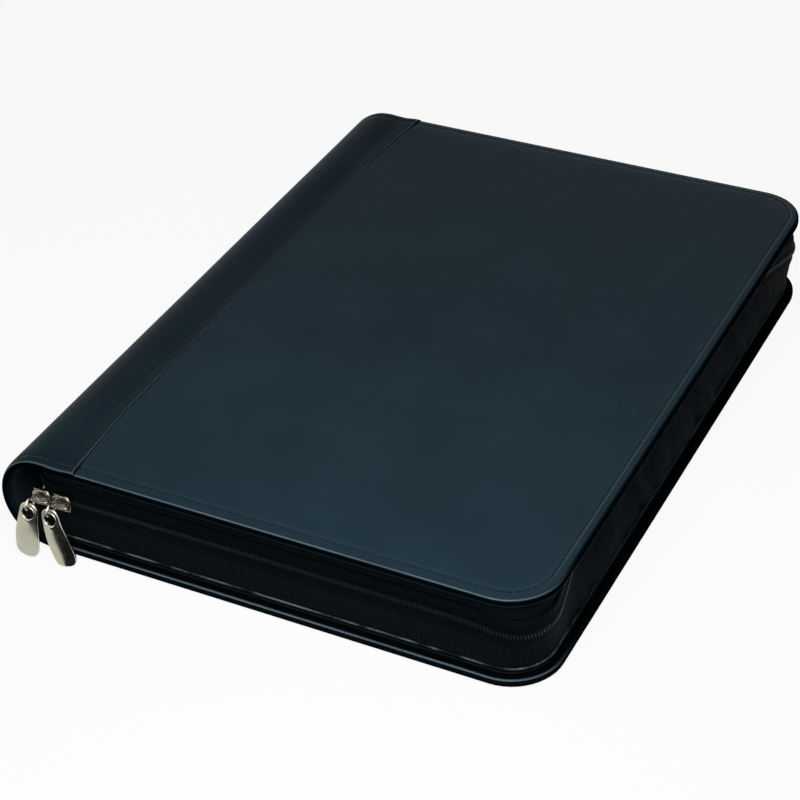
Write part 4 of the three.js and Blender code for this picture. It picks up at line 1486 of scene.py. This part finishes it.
def half_ring_line(side):
    """The centre line of a half ring in X and Z, from where the halves meet down to its plate."""
    low, high = span("half_ring_right_1")
    wire = (high.y - low.y) / 2
    radius = high.x - wire - RING_X
    centre = high.z - wire - radius
    plate_top = span("ring_plate_right")[1].z
    line = [(0.15, centre + radius), (1.5, centre + radius)]
    for degrees in range(80, -46, -8):
        angle = math.radians(degrees)
        line.append((radius * math.cos(angle), centre + radius * math.sin(angle)))
    line += [(away, plate_top + over) for away, over in RING_FOOT]
    return [(RING_X + side * x, z) for x, z in line], wire


RING_NUMBERS = range(1, 5)


def build_rings():
    """The half rings, and the finish of the rest of the mechanism."""
    kit = materials()
    for side, label in ((-1, "left"), (1, "right")):
        line, radius = half_ring_line(side)
        for number in RING_NUMBERS:
            node = f"half_ring_{label}_{number}"
            low, high = span(node)
            y = (low.y + high.y) / 2
            wire = tube([(x, y, z) for x, z in line], radius, sides=20, up=(0, 1, 0))
            dress(make_piece(f"{node}_wire", *wire, [kit["steel"]]), f"ring_{label}", "ring_steel", node)
    finish_solids(("ring_sheath", "ring_rivet_1", "ring_rivet_2", "ring_plate_left", "ring_plate_right",
                   "ring_lever_near", "ring_lever_far"), kit["steel"])


# Stage


def area_light(name, place, target, size, power):
    """A white softbox that looks at a target."""
    data = bpy.data.lights.new(name, "AREA")
    data.shape = "RECTANGLE"
    data.size, data.size_y = size
    data.energy = power
    light = bpy.data.objects.new(name, data)
    light.location = place
    light.rotation_euler = (Vector(target) - Vector(place)).to_track_quat("-Z", "Y").to_euler()
    bpy.context.scene.collection.objects.link(light)


def mixed_by_rays(tree, share, real, seen):
    """A shader that the eye and shiny and clear surfaces see, by its share, over one for the rest."""
    rays = add_node(tree, "ShaderNodeLightPath").outputs
    direct = rays["Is Camera Ray"]
    for kind in ("Is Glossy Ray", "Is Transmission Ray"):
        direct = add_node(tree, "ShaderNodeMath", (direct, rays[kind]), operation="MAXIMUM")
    if share < 1:
        direct = add_node(tree, "ShaderNodeMath", (direct, share), operation="MULTIPLY")
    return add_node(tree, "ShaderNodeMixShader", (direct, real, seen))


WHITE = (1, 1, 1, 1)
PAPER = (0.6, 0.6, 0.6, 1)
CARD = (0.004, 0.005, 0.006, 1)
# How much of the paper's real shading shows through its white
PAPER_SHARE = 0.08
FLOOR_Z = -0.4
FLOOR_HALF = 3000.0


def build_floor():
    """White paper that keeps some of its real shading."""
    corners = [(a * FLOOR_HALF, b * FLOOR_HALF, FLOOR_Z) for a, b in ((-1, -1), (1, -1), (1, 1), (-1, 1))]
    material, tree = new_material("Paper_backdrop_matt")
    paper = add_node(tree, "ShaderNodeBsdfDiffuse", {"Color": PAPER})
    white = add_node(tree, "ShaderNodeEmission", {"Color": WHITE, "Strength": 1.0})
    surface = mixed_by_rays(tree, 1 - PAPER_SHARE, paper, white)
    add_node(tree, "ShaderNodeOutputMaterial", {"Surface": surface})
    make_piece("floor", corners, [(0, 1, 2, 3)], [material])


def build_flag():
    """A black card on the floor in front, which only shiny surfaces show. It gives the metal its dark
    side."""
    corners = [(-96, -183, -0.2), (200, -183, -0.2), (600, -700, -0.2), (-629, -700, -0.2)]
    material, tree = new_material("Card_black_matt")
    card = add_node(tree, "ShaderNodeBsdfDiffuse", {"Color": CARD})
    add_node(tree, "ShaderNodeOutputMaterial", {"Surface": card})
    flag = make_piece("black_flag", corners, [(0, 1, 2, 3)], [material])
    for kind in ("camera", "diffuse", "transmission", "volume_scatter", "shadow"):
        setattr(flag, f"visible_{kind}", False)


def build_world():
    """A studio that looks white and lights the binder only a little."""
    world = bpy.data.worlds.new("Studio")
    bpy.context.scene.world = world
    world.use_nodes = True
    tree = world.node_tree
    tree.nodes.clear()
    sky = add_node(tree, "ShaderNodeBackground", {"Color": WHITE, "Strength": 0.08})
    seen = add_node(tree, "ShaderNodeBackground", {"Color": WHITE, "Strength": 1.0})
    add_node(tree, "ShaderNodeOutputWorld", {"Surface": mixed_by_rays(tree, 1, sky, seen)})


def build_stage():
    """Floor, world and lamps."""
    build_floor()
    build_flag()
    build_world()
    area_light("Softbox_above", (0.13, -0.38, 0.42), (0.06, -0.12, 0), (0.36, 0.36), 3.3)
    area_light("Softbox_left", (-1.0, -0.5, 0.6), (0, 0, 0), (0.6, 0.6), 0.2)
    area_light("Softbox_back", (0.2, 1.3, 0.9), (0, 0, 0), (1.2, 0.5), 0.7)


# The camera, matched to the photograph: millimetres and degrees in the binder's frame
CAMERA_AT = (390.34, -763.06, 623.97)
CAMERA_AZIMUTH = 28.20
CAMERA_ELEVATION = 36.03
CAMERA_ROLL = -2.81
CAMERA_LENS = 97.23


def build_camera():
    azimuth, elevation, roll = (math.radians(a) for a in (CAMERA_AZIMUTH, CAMERA_ELEVATION, CAMERA_ROLL))
    back = Vector((math.sin(azimuth) * math.cos(elevation), -math.cos(azimuth) * math.cos(elevation),
                   math.sin(elevation)))
    right = Vector((0, 0, 1)).cross(back).normalized()
    up = back.cross(right)
    rolled_right = right * math.cos(roll) + up * math.sin(roll)
    rolled_up = up * math.cos(roll) - right * math.sin(roll)
    turn = Matrix((rolled_right, rolled_up, back)).transposed().to_4x4()
    data = bpy.data.cameras.new("Camera")
    data.sensor_width = 36
    data.lens = CAMERA_LENS
    data.clip_start = 0.01
    camera = bpy.data.objects.new("Camera", data)
    camera.matrix_world = Matrix.Translation(Vector(CAMERA_AT) / METRE) @ turn
    bpy.context.scene.collection.objects.link(camera)
    bpy.context.scene.camera = camera
    bpy.context.scene.view_settings.view_transform = "Standard"


# Operators


class BINDER_OT_covers(bpy.types.Operator):
    """Leather skins, turned edges and stitching of both covers"""
    bl_idname = "binder.covers"
    bl_label = "Covers"

    def execute(self, context):
        build_covers()
        return {"FINISHED"}


class BINDER_OT_spine(bpy.types.Operator):
    """Leather strip, folding spine and its lining"""
    bl_idname = "binder.spine"
    bl_label = "Spine"

    def execute(self, context):
        build_spine()
        return {"FINISHED"}


class BINDER_OT_gusset(bpy.types.Operator):
    """Both halves of the nylon gusset, and the piping"""
    bl_idname = "binder.gusset"
    bl_label = "Gusset"

    def execute(self, context):
        build_gusset()
        return {"FINISHED"}


class BINDER_OT_zip(bpy.types.Operator):
    """Zip tapes, coils and their stitching"""
    bl_idname = "binder.zip"
    bl_label = "Zip"

    def execute(self, context):
        build_zip()
        return {"FINISHED"}


class BINDER_OT_sliders(bpy.types.Operator):
    """Zip sliders with their links and pulls"""
    bl_idname = "binder.sliders"
    bl_label = "Sliders"

    def execute(self, context):
        build_sliders()
        return {"FINISHED"}


class BINDER_OT_linings(bpy.types.Operator):
    """Linings of both covers and the pockets on the front one"""
    bl_idname = "binder.linings"
    bl_label = "Linings and pockets"

    def execute(self, context):
        build_linings()
        build_pockets()
        return {"FINISHED"}


class BINDER_OT_rings(bpy.types.Operator):
    """Ring mechanism"""
    bl_idname = "binder.rings"
    bl_label = "Rings"

    def execute(self, context):
        build_rings()
        return {"FINISHED"}


class BINDER_OT_stage(bpy.types.Operator):
    """Floor, backdrop, lights and camera"""
    bl_idname = "binder.stage"
    bl_label = "Stage"

    def execute(self, context):
        build_stage()
        build_camera()
        return {"FINISHED"}


class BINDER_PT_sidebar(bpy.types.Panel):
    """The binder's sizes and steps"""
    bl_idname = "BINDER_PT_sidebar"
    bl_label = "Leather Ring Binder"
    bl_space_type = "VIEW_3D"
    bl_region_type = "UI"
    bl_category = "Binder"

    def draw(self, context):
        layout = self.layout
        for group in (context.scene.binder_leather, context.scene.binder_zip, context.scene.binder_metal):
            for name in group.bl_rna.properties.keys():
                if name not in ("rna_type", "name"):
                    layout.prop(group, name)
        for step in STEPS:
            layout.operator(step.bl_idname)


STEPS = (
    BINDER_OT_covers, BINDER_OT_spine, BINDER_OT_gusset, BINDER_OT_zip, BINDER_OT_sliders,
    BINDER_OT_linings, BINDER_OT_rings, BINDER_OT_stage,
)
GROUPS = (BinderLeather, BinderZip, BinderMetal)


def register():
    for item in GROUPS + STEPS + (BINDER_PT_sidebar,):
        bpy.utils.register_class(item)
    bpy.types.Scene.binder_leather = PointerProperty(type=BinderLeather)
    bpy.types.Scene.binder_zip = PointerProperty(type=BinderZip)
    bpy.types.Scene.binder_metal = PointerProperty(type=BinderMetal)


def unregister():
    del bpy.types.Scene.binder_metal
    del bpy.types.Scene.binder_zip
    del bpy.types.Scene.binder_leather
    for item in reversed(GROUPS + STEPS + (BINDER_PT_sidebar,)):
        bpy.utils.unregister_class(item)


def main():
    register()
    bpy.ops.binder.covers()
    bpy.ops.binder.spine()
    bpy.ops.binder.gusset()
    bpy.ops.binder.zip()
    bpy.ops.binder.sliders()
    bpy.ops.binder.linings()
    bpy.ops.binder.rings()
    bpy.ops.binder.stage()


if __name__ == "__main__":
    main()
